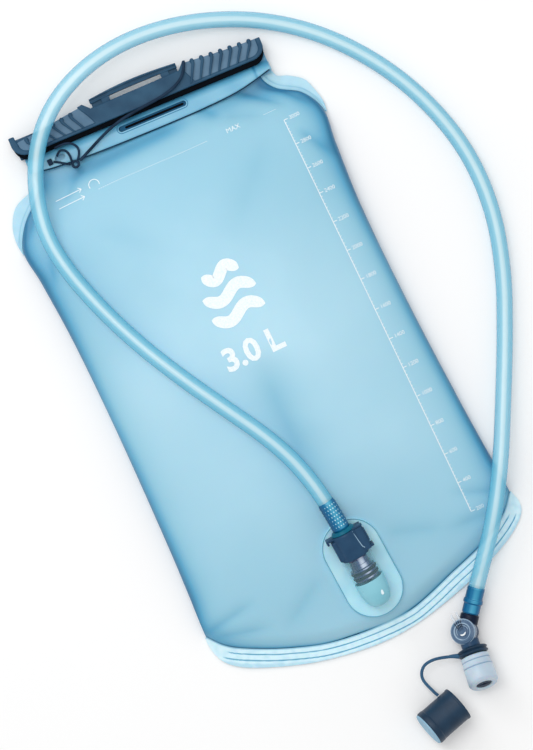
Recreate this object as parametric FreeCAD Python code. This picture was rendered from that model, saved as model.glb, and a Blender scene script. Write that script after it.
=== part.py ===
"""Hydration bladder: a soft film reservoir lying on its back, with a fold-over slide closure,
a quick-connect port, a long drinking hose and a bite valve with a shut-off dial and dust cap.

Frame: millimetres, +Z up (front of the reservoir), +Y towards the filling mouth, +X to the right.
The origin is under the middle of the reservoir, on the surface that it lies on.
"""
import FreeCAD, Part

import math
import os

os.makedirs("parts", exist_ok=True)

V = FreeCAD.Vector
X_AXIS = V(1, 0, 0)
Y_AXIS = V(0, 1, 0)
Z_AXIS = V(0, 0, 1)

# ---------------------------------------------------------------- driving dimensions
FILM = 0.5                  # one layer of film
WELD_LOW, WELD_HIGH = 0.7, 1.9      # height of the flat welded margins above the ground

# Reservoir sections across X: y, left x, right x, underside z, radius of the side fold, top z
BELOW = -0.6                # sections start below the ground and are trimmed flat at z = 0
SECTIONS = (
    (-184.6, -12, 16, 0.2, 0.9, 4.6),
    (-181.0, -39, 31, BELOW, 1.5, 8.6),
    (-175.0, -58, 49, BELOW, 2.2, 10.9),
    (-166.0, -79, 76, BELOW, 3.0, 12.5),
    (-155.0, -98, 96, BELOW, 3.8, 14.4),
    (-144.0, -107.6, 105.8, BELOW, 4.8, 16.4),
    (-118.0, -106.1, 104.2, BELOW, 6.4, 20.9),
    (-80.0, -104.2, 102.0, BELOW, 8.0, 27.0),
    (-5.0, -102.2, 99.2, BELOW, 9.0, 33.0),
    (60.0, -102.3, 99.0, BELOW, 9.0, 32.4),
    (104.0, -104.7, 101.9, BELOW, 7.6, 28.6),
    (126.0, -106.5, 103.9, BELOW, 5.4, 23.6),
    (141.0, -98.4, 96.6, BELOW, 3.6, 18.2),
    (151.0, -87.6, 82.6, 0.2, 2.4, 13.4),
    (159.0, -80.4, 77.4, 1.9, 1.7, 9.6),
    (168.0, -79.0, 77.0, 4.3, 1.1, 7.6),
)
BAG_HALF_LENGTH = 195.4
BAG_HALF_WIDTH = 108.7

# Slide closure: its own axis is turned a little in plan
CLOSURE_ORIGIN = V(0.9, 182.0, 0)
CLOSURE_TURN = -2.9         # degrees about Z
SLIDER_END = 85.6           # half length along its axis
SLIDER_LOW, SLIDER_HIGH = 0.5, 12.1
WALL = 2.1                  # front and back wall of the slider
FOLD_LOW, FOLD_HIGH = 5.2, 7.4      # underside and top of the folded film inside the slider
FLAP_LIFT = 3.4             # how far the free flap rises to lie on the reservoir
FLAP_RAMP = (-8.5, -15.0)   # start and end of that rise, across the closure
RAIL_WIDTH, RAIL_HEIGHT = 3.0, 2.0
RAIL_AT = -3.4              # middle of the rails, across the closure
LIP_GAP = 3.4               # opening between the slider's lips

# Port and hose coupling, in the port's own frame: u across, v along the hose, w out of the film
PORT_SPOT = V(0.9, -146.0, 16.25)
PORT_TILT = 9.8             # the film's slope there, degrees about X
PORT_TURN = 3.0             # degrees about Z
FLANGE_WIDTH, FLANGE_LENGTH, FLANGE_TOP = 36.9, 65.9, 1.7
AXIS_HEIGHT = 11.4          # flow axis above the film
FLOW = V(0, 0, AXIS_HEIGHT)
BARREL_RADIUS, BORE_RADIUS = 9.85, 8.75
MOUTH_AT = 10.6             # barrel mouth, along v
NOSE_FROM, NOSE_RADIUS, NOSE_END = -13.5, 7.15, -24.3
STEM_RADIUS, STEM_BORE = 6.35, 2.6
RING_CORD = 1.8             # thickness of the plug's seal rings

# Coupling housing, its release button and the plug's two seal rings: places along and across v
HOUSING_FROM, HOUSING_END = 11.0, 28.8
BUTTON_FROM, BUTTON_END = 13.6, 28.2
BUTTON_OUT, BUTTON_IN = 12.2, 8.3
BUTTON_TRAVEL = 1.6
PLUG_FLANGE = (11.6, 12.8)  # the flange that locks the plug in its housing
BARB_FROM, BARB_END, BARB_RIDGES = 31.4, 48.0, 5
RING_PLACES = (1.4, -1.8)

# Hose
HOSE_OUTER, HOSE_INNER = 10.4, 6.6
BARB_RADIUS = 3.55          # stretches the hose a little

# Bite valve assembly: flow lines meet in the middle of the shut-off drum
DRUM_CENTRE = V(42.3, -211.6, 8.7)
TO_HOSE = V(0.62, 0.784, -0.02).normalize()
TO_MOUTH = V(-0.121, -1.0, 0.27).normalize()
DIAL_AXIS = TO_MOUTH.cross(TO_HOSE).normalize()
DRUM_RADIUS = 6.9
DRUM_LOW, DRUM_HIGH = -5.4, 4.0
ROTOR_RADIUS = 4.6
RUNNING = 0.05              # radial clearance of a turning fit
DIAL_RADIUS = 8.2
DIAL_TOP = 7.4
NECK_RADIUS = 6.0
BITE_FROM, BITE_END, BITE_RADIUS = 15.9, 35.4, 9.6
CAP_RING_AT = 12.6

# Dust cap
CAP_CENTRE = V(6.2, -252.9, 12.0)
CAP_TURN = 14.6             # its open end points this far round from +X
CAP_RADIUS, CAP_LENGTH, CAP_WALL = 11.75, 26.0, 1.3

# Slider tether and cap strap
TETHER_DIAMETER = 1.9
STRAP_DIAMETER = 2.0
EYELET = V(-52.4, 161.4, 12.6)

# Centre line of each cord, from the end it leaves to the end it reaches
HOSE_ROUTE_MIDDLE = (
    (-7.5, -70.0, 37.0),
    (-17.5, -46.0, 38.4),
    (-33.0, -19.0, 38.0),
    (-49.5, 10.0, 36.0),
    (-65.0, 41.0, 32.8),
    (-77.5, 73.0, 28.8),
    (-86.5, 105.0, 25.0),
    (-88.5, 132.0, 22.4),
    (-80.5, 162.0, 21.8),
    (-65.5, 186.5, 22.6),
    (-43.5, 204.5, 22.6),
    (-13.0, 215.5, 20.6),
    (20.0, 217.5, 15.6),
    (56.0, 210.5, 10.4),
    (92.0, 194.5, 6.8),
    (123.0, 170.0, 5.6),
    (148.0, 138.0, 5.5),
    (165.5, 102.0, 5.6),
    (175.0, 62.0, 5.5),
    (173.5, 22.0, 5.6),
    (162.5, -16.5, 5.5),
    (146.0, -52.5, 6.4),
    (127.0, -89.0, 9.4),
    (108.5, -123.0, 16.6),
    (89.5, -152.5, 18.6),
    (72.5, -174.0, 13.8),
)
TETHER_ROUTE = (
    (37.0, 190.6, 14.6),
    (34.6, 184.4, 14.7),
    (27.0, 178.6, 14.4),
    (14.0, 175.9, 14.1),
    (-1.0, 175.4, 13.9),
    (-15.0, 174.2, 13.5),
    (-27.0, 171.0, 13.1),
    (-38.5, 166.4, 12.9),
    (-48.9, 162.2, 12.6),
)
TAIL_DIAMETER = 1.5
TAIL_ROUTES = {
    "tether_tail_inner": ((-53.8, 164.2, 12.7), (-53.1, 168.0, 13.0), (-54.6, 172.4, 13.3),
                          (-58.6, 173.6, 13.2), (-61.0, 170.8, 12.8)),
    "tether_tail_outer": ((-49.9, 163.4, 12.7), (-47.0, 166.6, 12.9), (-46.6, 171.4, 13.2),
                          (-50.2, 175.2, 13.3), (-55.2, 176.4, 13.3), (-60.0, 176.0, 13.1)),
    "tether_tail_end": ((-55.2, 162.6, 12.6), (-58.8, 164.8, 12.4), (-61.6, 167.2, 12.3),
                        (-64.4, 168.8, 12.2)),
}
STRAP_ROUTE = (
    (28.9, -221.9, 11.4),
    (22.5, -219.6, 10.6),
    (15.0, -218.0, 9.8),
    (8.2, -219.2, 9.4),
    (4.2, -225.0, 9.4),
    (5.8, -232.5, 9.8),
    (9.0, -240.0, 10.2),
)


# ---------------------------------------------------------------- helpers
def unit(vector):
    """A copy of the vector with length one."""
    return V(vector).normalize()


def prism(outline, low, high):
    """Straight-sided solid over a plan outline of (x, y) points."""
    corners = [V(x, y, low) for x, y in outline]
    wire = Part.makePolygon(corners + corners[:1])
    return Part.Face(wire).extrude(V(0, 0, high - low))


def curved_prism(edges, low, high):
    """Solid over a closed plan outline of edges drawn at z = 0."""
    face = Part.Face(Part.Wire(edges))
    face.translate(V(0, 0, low))
    return face.extrude(V(0, 0, high - low))


def spline(points):
    """Smooth edge through points."""
    curve = Part.BSplineCurve()
    curve.interpolate([V(*p) for p in points])
    return curve.toShape()


def line(start, end):
    return Part.LineSegment(V(*start), V(*end)).toShape()


def stadium(width, length, low, high):
    """Upright solid with round ends, long way along Y."""
    radius = width / 2
    half = length / 2 - radius
    edges = [
        line((-radius, -half, 0), (-radius, half, 0)),
        Part.Arc(V(-radius, half, 0), V(0, half + radius, 0), V(radius, half, 0)).toShape(),
        line((radius, half, 0), (radius, -half, 0)),
        Part.Arc(V(radius, -half, 0), V(0, -half - radius, 0), V(-radius, -half, 0)).toShape(),
    ]
    return curved_prism(edges, low, high)


def rod(start, direction, radius, begin, end):
    """Cylinder on the line through start, between two distances along it."""
    axis = unit(direction)
    return Part.makeCylinder(radius, end - begin, start + axis * begin, axis)


def cone(start, direction, radius_begin, radius_end, begin, end):
    axis = unit(direction)
    return Part.makeCone(radius_begin, radius_end, end - begin, start + axis * begin, axis)


def ring(start, direction, middle_radius, cord_radius, at):
    """Round-section ring about the line through start."""
    axis = unit(direction)
    return Part.makeTorus(middle_radius, cord_radius, start + axis * at, axis)


def fuse(shapes):
    whole = shapes[0]
    if len(shapes) > 1:
        whole = shapes[0].multiFuse(shapes[1:])
    return whole.removeSplitter()


def soften(shape, radius, keep):
    """Round the edges that keep() picks."""
    edges = [edge for edge in shape.Edges if keep(edge)]
    return shape.makeFillet(radius, edges)


def route_path(points):
    """Straight runs joined by tangent arcs, each arc as large as its two runs allow."""
    corners = [V(*p) for p in points]
    edges = []
    radii = []
    last = corners[0]
    for before, corner, after in zip(corners, corners[1:], corners[2:]):
        back = unit(before - corner)
        ahead = unit(after - corner)
        turn = math.pi - back.getAngle(ahead)
        cut = 0.45 * min(before.distanceToPoint(corner), after.distanceToPoint(corner))
        radius = cut / math.tan(turn / 2)
        begin = corner + back * cut
        end = corner + ahead * cut
        bisector = unit(back + ahead)
        middle = corner + bisector * (radius / math.cos(turn / 2) - radius)
        edges.append(Part.LineSegment(last, begin).toShape())
        edges.append(Part.Arc(begin, middle, end).toShape())
        radii.append(radius)
        last = end
    edges.append(Part.LineSegment(last, corners[-1]).toShape())
    return Part.Wire(edges), radii


def tube(name, points, outer, inner=0.0):
    """Round tube or solid cord along a route, with its radii and volume printed."""
    path, radii = route_path(points)
    start = V(*points[0])
    heading = unit(V(*points[1]) - start)
    outer_wire = Part.Wire(Part.makeCircle(outer / 2, start, heading))
    wires = [outer_wire]
    section = math.pi * outer ** 2 / 4
    if inner:
        wires.append(Part.Wire(Part.makeCircle(inner / 2, start, heading)))
        section -= math.pi * inner ** 2 / 4
    face = Part.Face(wires)
    face.validate()
    solid = path.makePipe(face)
    if solid.ShapeType != "Solid":
        solid = solid.Solids[0]
    expected = section * path.Length
    print(name, "length", round(path.Length, 1), "radii", [round(r) for r in radii])
    print(name, "volume over section x length", round(abs(solid.Volume) / expected, 4))
    return solid


# ---------------------------------------------------------------- reservoir film
def section_wire(y, left, right, low, fold, top, inset):
    """Flat base, a round fold at each side and one crown arc tangent to both folds."""
    left += inset
    right -= inset
    low += inset
    top -= inset
    fold -= inset
    middle = (left + right) / 2
    reach = (right - left) / 2 - fold
    rise = top - low - fold
    crown = (reach ** 2 + rise ** 2 - fold ** 2) / (2 * (rise - fold))
    lean = math.asin(reach / (crown - fold))

    def side(sign, angle):
        return V(middle + sign * (reach + fold * math.cos(angle)), y, low + fold + fold * math.sin(angle))

    crown_angle = math.pi / 2 - lean
    base_left = V(middle - reach, y, low)
    base_right = V(middle + reach, y, low)
    half_way = (crown_angle - math.pi / 2) / 2
    return Part.Wire([
        Part.LineSegment(base_left, base_right).toShape(),
        Part.Arc(base_right, side(1, half_way), side(1, crown_angle)).toShape(),
        Part.Arc(side(1, crown_angle), V(middle, y, top), side(-1, crown_angle)).toShape(),
        Part.Arc(side(-1, crown_angle), side(-1, half_way), base_left).toShape(),
    ])


def bag_solid(inset):
    """Loft through the sections, trimmed flat where the film lies on the ground."""
    rows = SECTIONS if inset == 0 else SECTIONS[1:-1]
    loft = Part.makeLoft([section_wire(*row, inset) for row in rows], True, False)
    ground = Part.makeBox(300, 500, 20, V(-150, -250, inset - 20))
    return loft.cut(ground)


def below_folds():
    """Everything under the side folds: where the back film ends and the front film starts."""
    profile = [V(-150, -250, -5), V(-150, 250, -5)]
    for y, _, _, low, fold, _ in reversed(SECTIONS):
        profile.append(V(-150, y, low + fold))
    profile[2] = V(-150, 250, profile[2].z)
    profile[-1] = V(-150, -250, profile[-1].z)
    return Part.Face(Part.makePolygon(profile + profile[:1])).extrude(V(300, 0, 0))


def bottom_weld(bag):
    """Flat curved margin below the inner seam, both films welded into one."""
    outline = [
        (-108.6, -144.5, 0), (-108.2, -152.5, 0), (-105.2, -161.6, 0), (-97.6, -169.4, 0),
        (-82.5, -177.4, 0), (-47.5, -189.4, 0), (2.5, -BAG_HALF_LENGTH, 0), (57.0, -184.6, 0),
        (94.9, -169.0, 0), (107.0, -158.6, 0), (BAG_HALF_WIDTH, -152.0, 0), (106.6, -144.0, 0),
    ]
    edges = [spline(outline), line(outline[-1], outline[0])]
    return largest(curved_prism(edges, WELD_LOW, WELD_HIGH).cut(bag))


def shoulder_weld(bag, outline):
    return largest(prism(outline, WELD_LOW + 0.6, WELD_HIGH + 0.6).cut(bag))


def largest(shape):
    """The biggest solid of a cut, without the crumbs."""
    return max(shape.Solids, key=lambda solid: solid.Volume)


# ---------------------------------------------------------------- closure
def on_closure(shape):
    """Move a shape from the closure's frame (s along, t across) to its place."""
    shape.rotate(V(0, 0, 0), Z_AXIS, CLOSURE_TURN)
    shape.translate(CLOSURE_ORIGIN)
    return shape


def folded_mouth(bag):
    """The neck film goes up into the slider, folds over and comes back down as the flap."""
    middle = (FOLD_LOW + FOLD_HIGH) / 2
    layer = 2 * FILM
    fold_at = -1.0
    outer = (FOLD_HIGH - FOLD_LOW) / 2
    inner = outer - layer
    neck_end, flap_end = -17.0, -27.0
    ramp_from, ramp_to = FLAP_RAMP
    start, end = -SLIDER_END + 4.6, SLIDER_END - 1.0

    def at(t, z):
        return V(start, t, z)

    edges = [
        Part.LineSegment(at(neck_end, FOLD_LOW), at(fold_at, FOLD_LOW)).toShape(),
        Part.Arc(at(fold_at, FOLD_LOW), at(fold_at + outer, middle), at(fold_at, FOLD_HIGH)).toShape(),
    ]
    upper = [at(fold_at, FOLD_HIGH), at(ramp_from, FOLD_HIGH), at(ramp_to, FOLD_HIGH + FLAP_LIFT),
             at(flap_end, FOLD_HIGH + FLAP_LIFT)]
    lower = [p - V(0, 0, layer) for p in reversed(upper)]
    edges += Part.makePolygon(upper).Edges
    edges.append(Part.LineSegment(upper[-1], lower[0]).toShape())
    edges += Part.makePolygon(lower).Edges
    edges.append(Part.Arc(at(fold_at, middle + inner), at(fold_at + inner, middle),
                          at(fold_at, middle - inner)).toShape())
    edges.append(line(at(fold_at, middle - inner), at(neck_end, middle - inner)))
    edges.append(line(at(neck_end, middle - inner), at(neck_end, FOLD_LOW)))
    film = on_closure(Part.Face(Part.Wire(edges)).extrude(V(end - start, 0, 0)))

    free_edge = [(-76.0, 167.6, 0), (-68.5, 166.0, 0), (-44.0, 163.0, 0), (2.0, 159.8, 0),
                 (36.0, 158.4, 0), (61.0, 158.9, 0), (88.0, 163.6, 0)]
    trim_edges = [
        spline(free_edge),
        line(free_edge[-1], (100, 163.6, 0)), line((100, 163.6, 0), (100, 140, 0)),
        line((100, 140, 0), (-100, 140, 0)), line((-100, 140, 0), (-100, 167.6, 0)),
        line((-100, 167.6, 0), free_edge[0]),
    ]
    film = film.cut(curved_prism(trim_edges, FOLD_HIGH - layer + 0.6, 30))
    slot = stadium(5.2, 47.0, FOLD_HIGH - layer + 0.2, 30)
    slot.rotate(V(0, 0, 0), Z_AXIS, 90 + CLOSURE_TURN)
    slot.translate(V(4.3, 167.9, 0))
    eye = stadium(3.6, 7.0, 0, 30)
    eye.rotate(V(0, 0, 0), Z_AXIS, 84)
    eye.translate(V(-59.5, 169.6, 0))
    return largest(film.cut(slot).cut(eye).cut(bag))


def rail(low):
    """Half-round rail welded on the outside of the fold, which the slider grips."""
    half = RAIL_WIDTH / 2
    tip = low + RAIL_HEIGHT if low > FOLD_LOW else low - RAIL_HEIGHT
    start = -SLIDER_END + 5.6
    edges = [
        line((start, RAIL_AT - half, low), (start, RAIL_AT + half, low)),
        Part.Arc(V(start, RAIL_AT + half, low), V(start, RAIL_AT, tip),
                 V(start, RAIL_AT - half, low)).toShape(),
    ]
    return on_closure(Part.Face(Part.Wire(edges)).extrude(V(2 * SLIDER_END - 8.2, 0, 0)))


def slider():
    """C-section channel with grip ribs on its front and a hang handle on its back edge."""
    end = SLIDER_END
    face_low = -7.2
    web_from = 3.2
    front = SLIDER_HIGH - WALL
    corner = 9.0
    lip_width = 1.4
    crest = [
        line((-end, 2.0, 0), (-end, 7.8, 0)), line((-end, 7.8, 0), (-end + 3.8, 7.8, 0)),
        line((-end + 3.8, 7.8, 0), (-end + 4.2, 4.6, 0)),
        spline([(-end + 4.2, 4.6, 0), (-65.8, 6.0, 0), (-50.0, 8.2, 0), (-34.0, 10.0, 0)]),
        line((-34.0, 10.0, 0), (-30.0, 5.6, 0)), line((-30.0, 5.6, 0), (30.5, 6.2, 0)),
        line((30.5, 6.2, 0), (35.5, 11.0, 0)),
        spline([(35.5, 11.0, 0), (53.5, 9.2, 0), (70.0, 8.0, 0), (end, 7.4, 0)]),
        line((end, 7.4, 0), (end, 1.0, 0)),
    ]
    foot = [
        Part.Arc(V(end, 1.0, 0), V(end - 3.2, face_low + 2.6, 0), V(end - corner, face_low, 0)).toShape(),
        line((end - corner, face_low, 0), (-end + corner, face_low, 0)),
        Part.Arc(V(-end + corner, face_low, 0), V(-end + 3.0, face_low + 3.0, 0), V(-end, 2.0, 0)).toShape(),
    ]
    front_wall = curved_prism(crest + foot, front, SLIDER_HIGH)
    back_wall = Part.makeBox(2 * end - 4, web_from - face_low + 2.2, WALL, V(-end + 2, face_low, SLIDER_LOW))
    web = Part.makeBox(2 * end - 4, 2.2, SLIDER_HIGH - SLIDER_LOW - 1.0, V(-end + 2, web_from, SLIDER_LOW))
    lip_height = (SLIDER_HIGH - SLIDER_LOW - 2 * WALL - LIP_GAP) / 2
    lip_length = 2 * end - 2 * corner
    lips = [
        Part.makeBox(lip_length, lip_width, lip_height, V(-end + corner, face_low, SLIDER_LOW + WALL)),
        Part.makeBox(lip_length, lip_width, lip_height, V(-end + corner, face_low, front - lip_height)),
    ]
    pieces = [front_wall, back_wall, web] + lips + grip_ribs() + handle()
    return on_closure(fuse(pieces))


def grip_ribs():
    """Slanted ribs on the front face that run over the crest as round knobs."""
    rib_width, rib_height = 1.3, 0.8
    pitch = 6.3
    ribs = []
    rows = ((40.5, 7, -1, 5.6), (-43.5, 6, 1, 4.6))
    for first, count, lean, half in rows:
        for step in range(count):
            top_s = first - lean * step * pitch
            crest = 10.4 - 0.42 * step if lean < 0 else 8.3 - 0.75 * step
            foot_s = top_s + lean * half
            outline = [(foot_s - rib_width / 2, -5.0), (foot_s + rib_width / 2, -5.0),
                       (top_s + rib_width / 2, crest - 1.6), (top_s - rib_width / 2, crest - 1.6)]
            ribs.append(prism(outline, SLIDER_HIGH - 0.4, SLIDER_HIGH + rib_height))
            knob = Part.makeCylinder(1.5, WALL + rib_height, V(top_s, crest - 1.5, SLIDER_HIGH - WALL))
            ribs.append(knob)
    return ribs


def handle():
    """Arched bar on two posts: the gap under it takes a webbing hanger."""
    low = SLIDER_HIGH - 5.6
    bar_edges = [
        spline([(-29.2, 8.1, 0), (-14.0, 8.8, 0), (0.5, 9.0, 0), (15.0, 8.9, 0), (30.2, 8.5, 0)]),
        line((30.2, 8.5, 0), (30.2, 11.6, 0)),
        spline([(30.2, 11.6, 0), (15.0, 12.7, 0), (0.5, 13.2, 0), (-14.0, 12.6, 0), (-29.2, 11.2, 0)]),
        line((-29.2, 11.2, 0), (-29.2, 8.1, 0)),
    ]
    bar = curved_prism(bar_edges, low, SLIDER_HIGH - 0.4)
    posts = [Part.makeBox(5.6, 5.4, 5.2, V(at, 4.0, low)) for at in (-21.8, 18.6)]
    return [bar] + posts


# ---------------------------------------------------------------- slider tether
def tether_eyelet():
    """Moulded eye that the tether ends in."""
    eye = Part.makeCylinder(2.7, 1.9, EYELET - V(0, 0, 0.95))
    hole = Part.makeCylinder(0.8, 4, EYELET - V(0, 0, 2))
    return soften(eye.cut(hole), 0.5, lambda edge: edge.Length > 16)


def tether_tail(name):
    """One stretch of the tether's tail, where it turns round the eye in the flap."""
    return tube(name, TAIL_ROUTES[name], TAIL_DIAMETER)


def tether_stop():
    """Squared stop on the tail's end, lying on the flap."""
    block = Part.makeBox(3.2, 4.0, 1.8, V(-68.0, 167.4, 11.2))
    return soften(block, 0.4, lambda edge: True)


# ---------------------------------------------------------------- port
def on_port(shape):
    """Move a shape from the port's frame (u, v, w) to its place on the film."""
    shape.rotate(V(0, 0, 0), X_AXIS, PORT_TILT)
    shape.rotate(V(0, 0, 0), Z_AXIS, PORT_TURN)
    shape.translate(PORT_SPOT)
    return shape


def port_body(bag):
    """Oval flange welded to the film, with the clear barrel that takes the hose plug."""
    flange = stadium(FLANGE_WIDTH, FLANGE_LENGTH, -3.0, FLANGE_TOP)
    barrel = rod(FLOW, Y_AXIS, BARREL_RADIUS, NOSE_FROM, MOUTH_AT)
    shoulder = cone(FLOW, Y_AXIS, NOSE_RADIUS, BARREL_RADIUS, NOSE_FROM - 1.6, NOSE_FROM)
    nose = rod(FLOW, Y_AXIS, NOSE_RADIUS, NOSE_END + 4.0, NOSE_FROM)
    tip = cone(FLOW, Y_AXIS, NOSE_RADIUS - 3.4, NOSE_RADIUS, NOSE_END, NOSE_END + 4.0)
    pedestal = Part.makeBox(12, MOUTH_AT - NOSE_END - 6, AXIS_HEIGHT - 5, V(-6, NOSE_END + 5, 0))
    cores = [
        rod(FLOW, Y_AXIS, BORE_RADIUS, -8.4, MOUTH_AT + 1),
        rod(FLOW, Y_AXIS, 3.4, -11.0, -8.0),
        rod(FLOW, Y_AXIS, 5.6, -21.5, -10.2),
        rod(FLOW + V(0, -18, 0), V(0, 0, -1), 2.6, 0, 30),
    ]
    solid = fuse([flange, barrel, shoulder, nose, tip, pedestal])
    for core in cores:
        solid = solid.cut(core)
    return largest(on_port(solid).cut(bag))


def film_window():
    """Hole in the front film under the flange, inside its weld."""
    return on_port(stadium(FLANGE_WIDTH - 12, FLANGE_LENGTH - 12, -6, 6))


def seat_seal():
    """Rubber ring that the poppet closes on."""
    outer = rod(FLOW, Y_AXIS, 5.5, -11.2, -10.25)
    return on_port(outer.cut(rod(FLOW, Y_AXIS, 3.9, -12, -10)))


def poppet():
    """Spring-loaded disc that shuts the port when the hose is pulled out."""
    head = rod(FLOW, Y_AXIS, 5.0, -13.6, -12.2)
    finger = rod(FLOW, Y_AXIS, 1.6, -12.3, -6.4)
    guide = rod(FLOW, Y_AXIS, 1.7, -17.0, -13.5)
    return on_port(fuse([head, finger, guide]))


def poppet_spring():
    """Compression spring about the flow axis, its helix a route of short runs."""
    radius, wire, begin, length = 3.7, 0.6, -21.0, 6.9
    turns, points_per_turn = 4, 10
    steps = turns * points_per_turn
    route = []
    for step in range(steps + 1):
        angle = 2 * math.pi * step / points_per_turn
        along = begin + length * step / steps
        route.append(tuple(FLOW + V(radius * math.cos(angle), along, radius * math.sin(angle))))
    return on_port(tube("poppet_spring", route, wire))


# ---------------------------------------------------------------- hose coupling
def plug_stem():
    """Hollow plug with two ring grooves at one end and the hose barb at the other."""
    solid = fuse([
        rod(FLOW, Y_AXIS, STEM_RADIUS, -5.2, 30.0),
        rod(FLOW, Y_AXIS, BORE_RADIUS - 0.5, -4.0, 3.4),
        rod(FLOW, Y_AXIS, STEM_RADIUS + 1.2, *PLUG_FLANGE),
        rod(FLOW, Y_AXIS, HOSE_INNER / 2 - 0.1, 29.0, BARB_END),
    ])
    groove_floor = BORE_RADIUS - RUNNING - RING_CORD
    for at in RING_PLACES:
        land = rod(FLOW, Y_AXIS, BORE_RADIUS, at - 1.0, at + 1.0)
        solid = solid.cut(land.cut(rod(FLOW, Y_AXIS, groove_floor, at - 2, at + 2)))
    step = (BARB_END - BARB_FROM) / BARB_RIDGES
    for index in range(BARB_RIDGES):
        begin = BARB_FROM + index * step
        ridge = cone(FLOW, Y_AXIS, BARB_RADIUS, HOSE_INNER / 2 - 0.2, begin + 1.0, begin + step)
        solid = solid.fuse(ridge)
    return on_port(solid.cut(rod(FLOW, Y_AXIS, STEM_BORE, -6, BARB_END + 1)))


def plug_ring(at):
    middle = BORE_RADIUS - RUNNING - RING_CORD / 2
    return on_port(ring(FLOW, Y_AXIS, middle, RING_CORD / 2, at))


def coupling_housing():
    """Moulded shell round the plug: a pocket on one side holds the release button."""
    shell = rod(FLOW, Y_AXIS, 9.3, HOUSING_FROM, HOUSING_END)
    cheek = Part.makeBox(9.0, HOUSING_END - HOUSING_FROM - 2.4, 13.0,
                         V(2.0, HOUSING_FROM + 1.6, AXIS_HEIGHT - 6.5))
    lip = Part.makeBox(3.0, 1.5, 9.0, V(-11.4, 23.4, AXIS_HEIGHT - 4.5))
    stop = Part.makeBox(3.0, 1.5, 9.0, V(-11.0, 18.6, AXIS_HEIGHT - 4.5))
    solid = fuse([shell, cheek, lip, stop])
    solid = soften(solid, 0.7, lambda edge: abs(edge.BoundBox.XMin - 11.0) < 0.01)
    bore = rod(FLOW, Y_AXIS, STEM_RADIUS, HOUSING_FROM - 1, HOUSING_END + 1)
    flange_room = rod(FLOW, Y_AXIS, STEM_RADIUS + 1.2, *PLUG_FLANGE)
    pocket = Part.makeBox(8.0, BUTTON_END - BUTTON_FROM + 0.8, 10.8,
                          V(BUTTON_IN - BUTTON_TRAVEL - 0.4, BUTTON_FROM - 0.4, AXIS_HEIGHT - 5.4))
    return on_port(solid.cut(bore).cut(flange_room).cut(pocket.cut(bore)))


def release_button():
    """Side button that frees the catch when it is pressed in."""
    body = Part.makeBox(BUTTON_OUT - BUTTON_IN, BUTTON_END - BUTTON_FROM, 10.0,
                        V(BUTTON_IN, BUTTON_FROM, AXIS_HEIGHT - 5.0))
    body = soften(body, 0.9, lambda edge: edge.BoundBox.XMin > BUTTON_OUT - 0.01)
    ridges = [Part.makeBox(0.8, 1.0, 8.0, V(BUTTON_OUT - 0.3, at, AXIS_HEIGHT - 4.0))
              for at in (17.2, 20.4, 23.6)]
    return on_port(fuse([body] + ridges))


def button_spring():
    """Leaf that pushes the button out, resting against the plug stem."""
    bow = [
        Part.Arc(V(8.1, 16.0, 0), V(6.9, 20.9, 0), V(8.1, 25.8, 0)).toShape(),
        line((8.1, 25.8, 0), (7.7, 25.8, 0)),
        Part.Arc(V(7.7, 25.8, 0), V(6.5, 20.9, 0), V(7.7, 16.0, 0)).toShape(),
        line((7.7, 16.0, 0), (8.1, 16.0, 0)),
    ]
    leaf = curved_prism(bow, -1.5, 1.5)
    leaf.translate(FLOW)
    return on_port(leaf)


def coupling_collar():
    """Ring between the housing and the hose end."""
    outer = cone(FLOW, Y_AXIS, 8.4, 7.2, HOUSING_END, HOUSING_END + 2.4)
    stem_room = rod(FLOW, Y_AXIS, STEM_RADIUS, 20, 30)
    barb_room = rod(FLOW, Y_AXIS, HOSE_INNER / 2, 20, 40)
    return on_port(outer.cut(stem_room).cut(barb_room))


def port_point(distance):
    """Place on the flow axis, in the row's frame."""
    marker = Part.Vertex(FLOW + V(0, distance, 0))
    return on_port(marker).Point


# ---------------------------------------------------------------- bite valve
def valve_elbow():
    """Hose barb, collar, drum and drinking neck, moulded in one."""
    barb = fuse([
        rod(DRUM_CENTRE, TO_HOSE, HOSE_INNER / 2 - 0.1, 6.0, 27.0),
        cone(DRUM_CENTRE, TO_HOSE, BARB_RADIUS + 0.5, HOSE_INNER / 2 - 0.2, 19.5, 22.5),
    ])
    collar = rod(DRUM_CENTRE, TO_HOSE, 5.9, 4.0, 11.8)
    drum = rod(DRUM_CENTRE, DIAL_AXIS, DRUM_RADIUS, DRUM_LOW, DRUM_HIGH)
    neck = rod(DRUM_CENTRE, TO_MOUTH, NECK_RADIUS, 4.0, 29.0)
    flare = rod(DRUM_CENTRE, TO_MOUTH, NECK_RADIUS + 1.4, 21.0, 23.0)
    groove = rod(DRUM_CENTRE, TO_MOUTH, 10, CAP_RING_AT - 2.0, CAP_RING_AT + 3.2)
    groove = groove.cut(rod(DRUM_CENTRE, TO_MOUTH, NECK_RADIUS - 0.6, 0, 40))
    solid = fuse([barb, collar, drum, neck, flare]).cut(groove)
    rotor_bore = rod(DRUM_CENTRE, DIAL_AXIS, ROTOR_RADIUS + RUNNING, DRUM_LOW + 1.2, DRUM_HIGH + 1)
    passages = [
        rod(DRUM_CENTRE, TO_HOSE, STEM_BORE, 0, 30),
        rod(DRUM_CENTRE, TO_MOUTH, STEM_BORE + 1, 0, 30),
    ]
    skirt_room = rod(DRUM_CENTRE, DIAL_AXIS, DIAL_RADIUS + 0.3, 1.2, 20)
    skirt_room = skirt_room.cut(rod(DRUM_CENTRE, DIAL_AXIS, DRUM_RADIUS, 0, DRUM_HIGH))
    for tool in passages + [rotor_bore, skirt_room]:
        solid = solid.cut(tool)
    return largest(solid)


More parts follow.
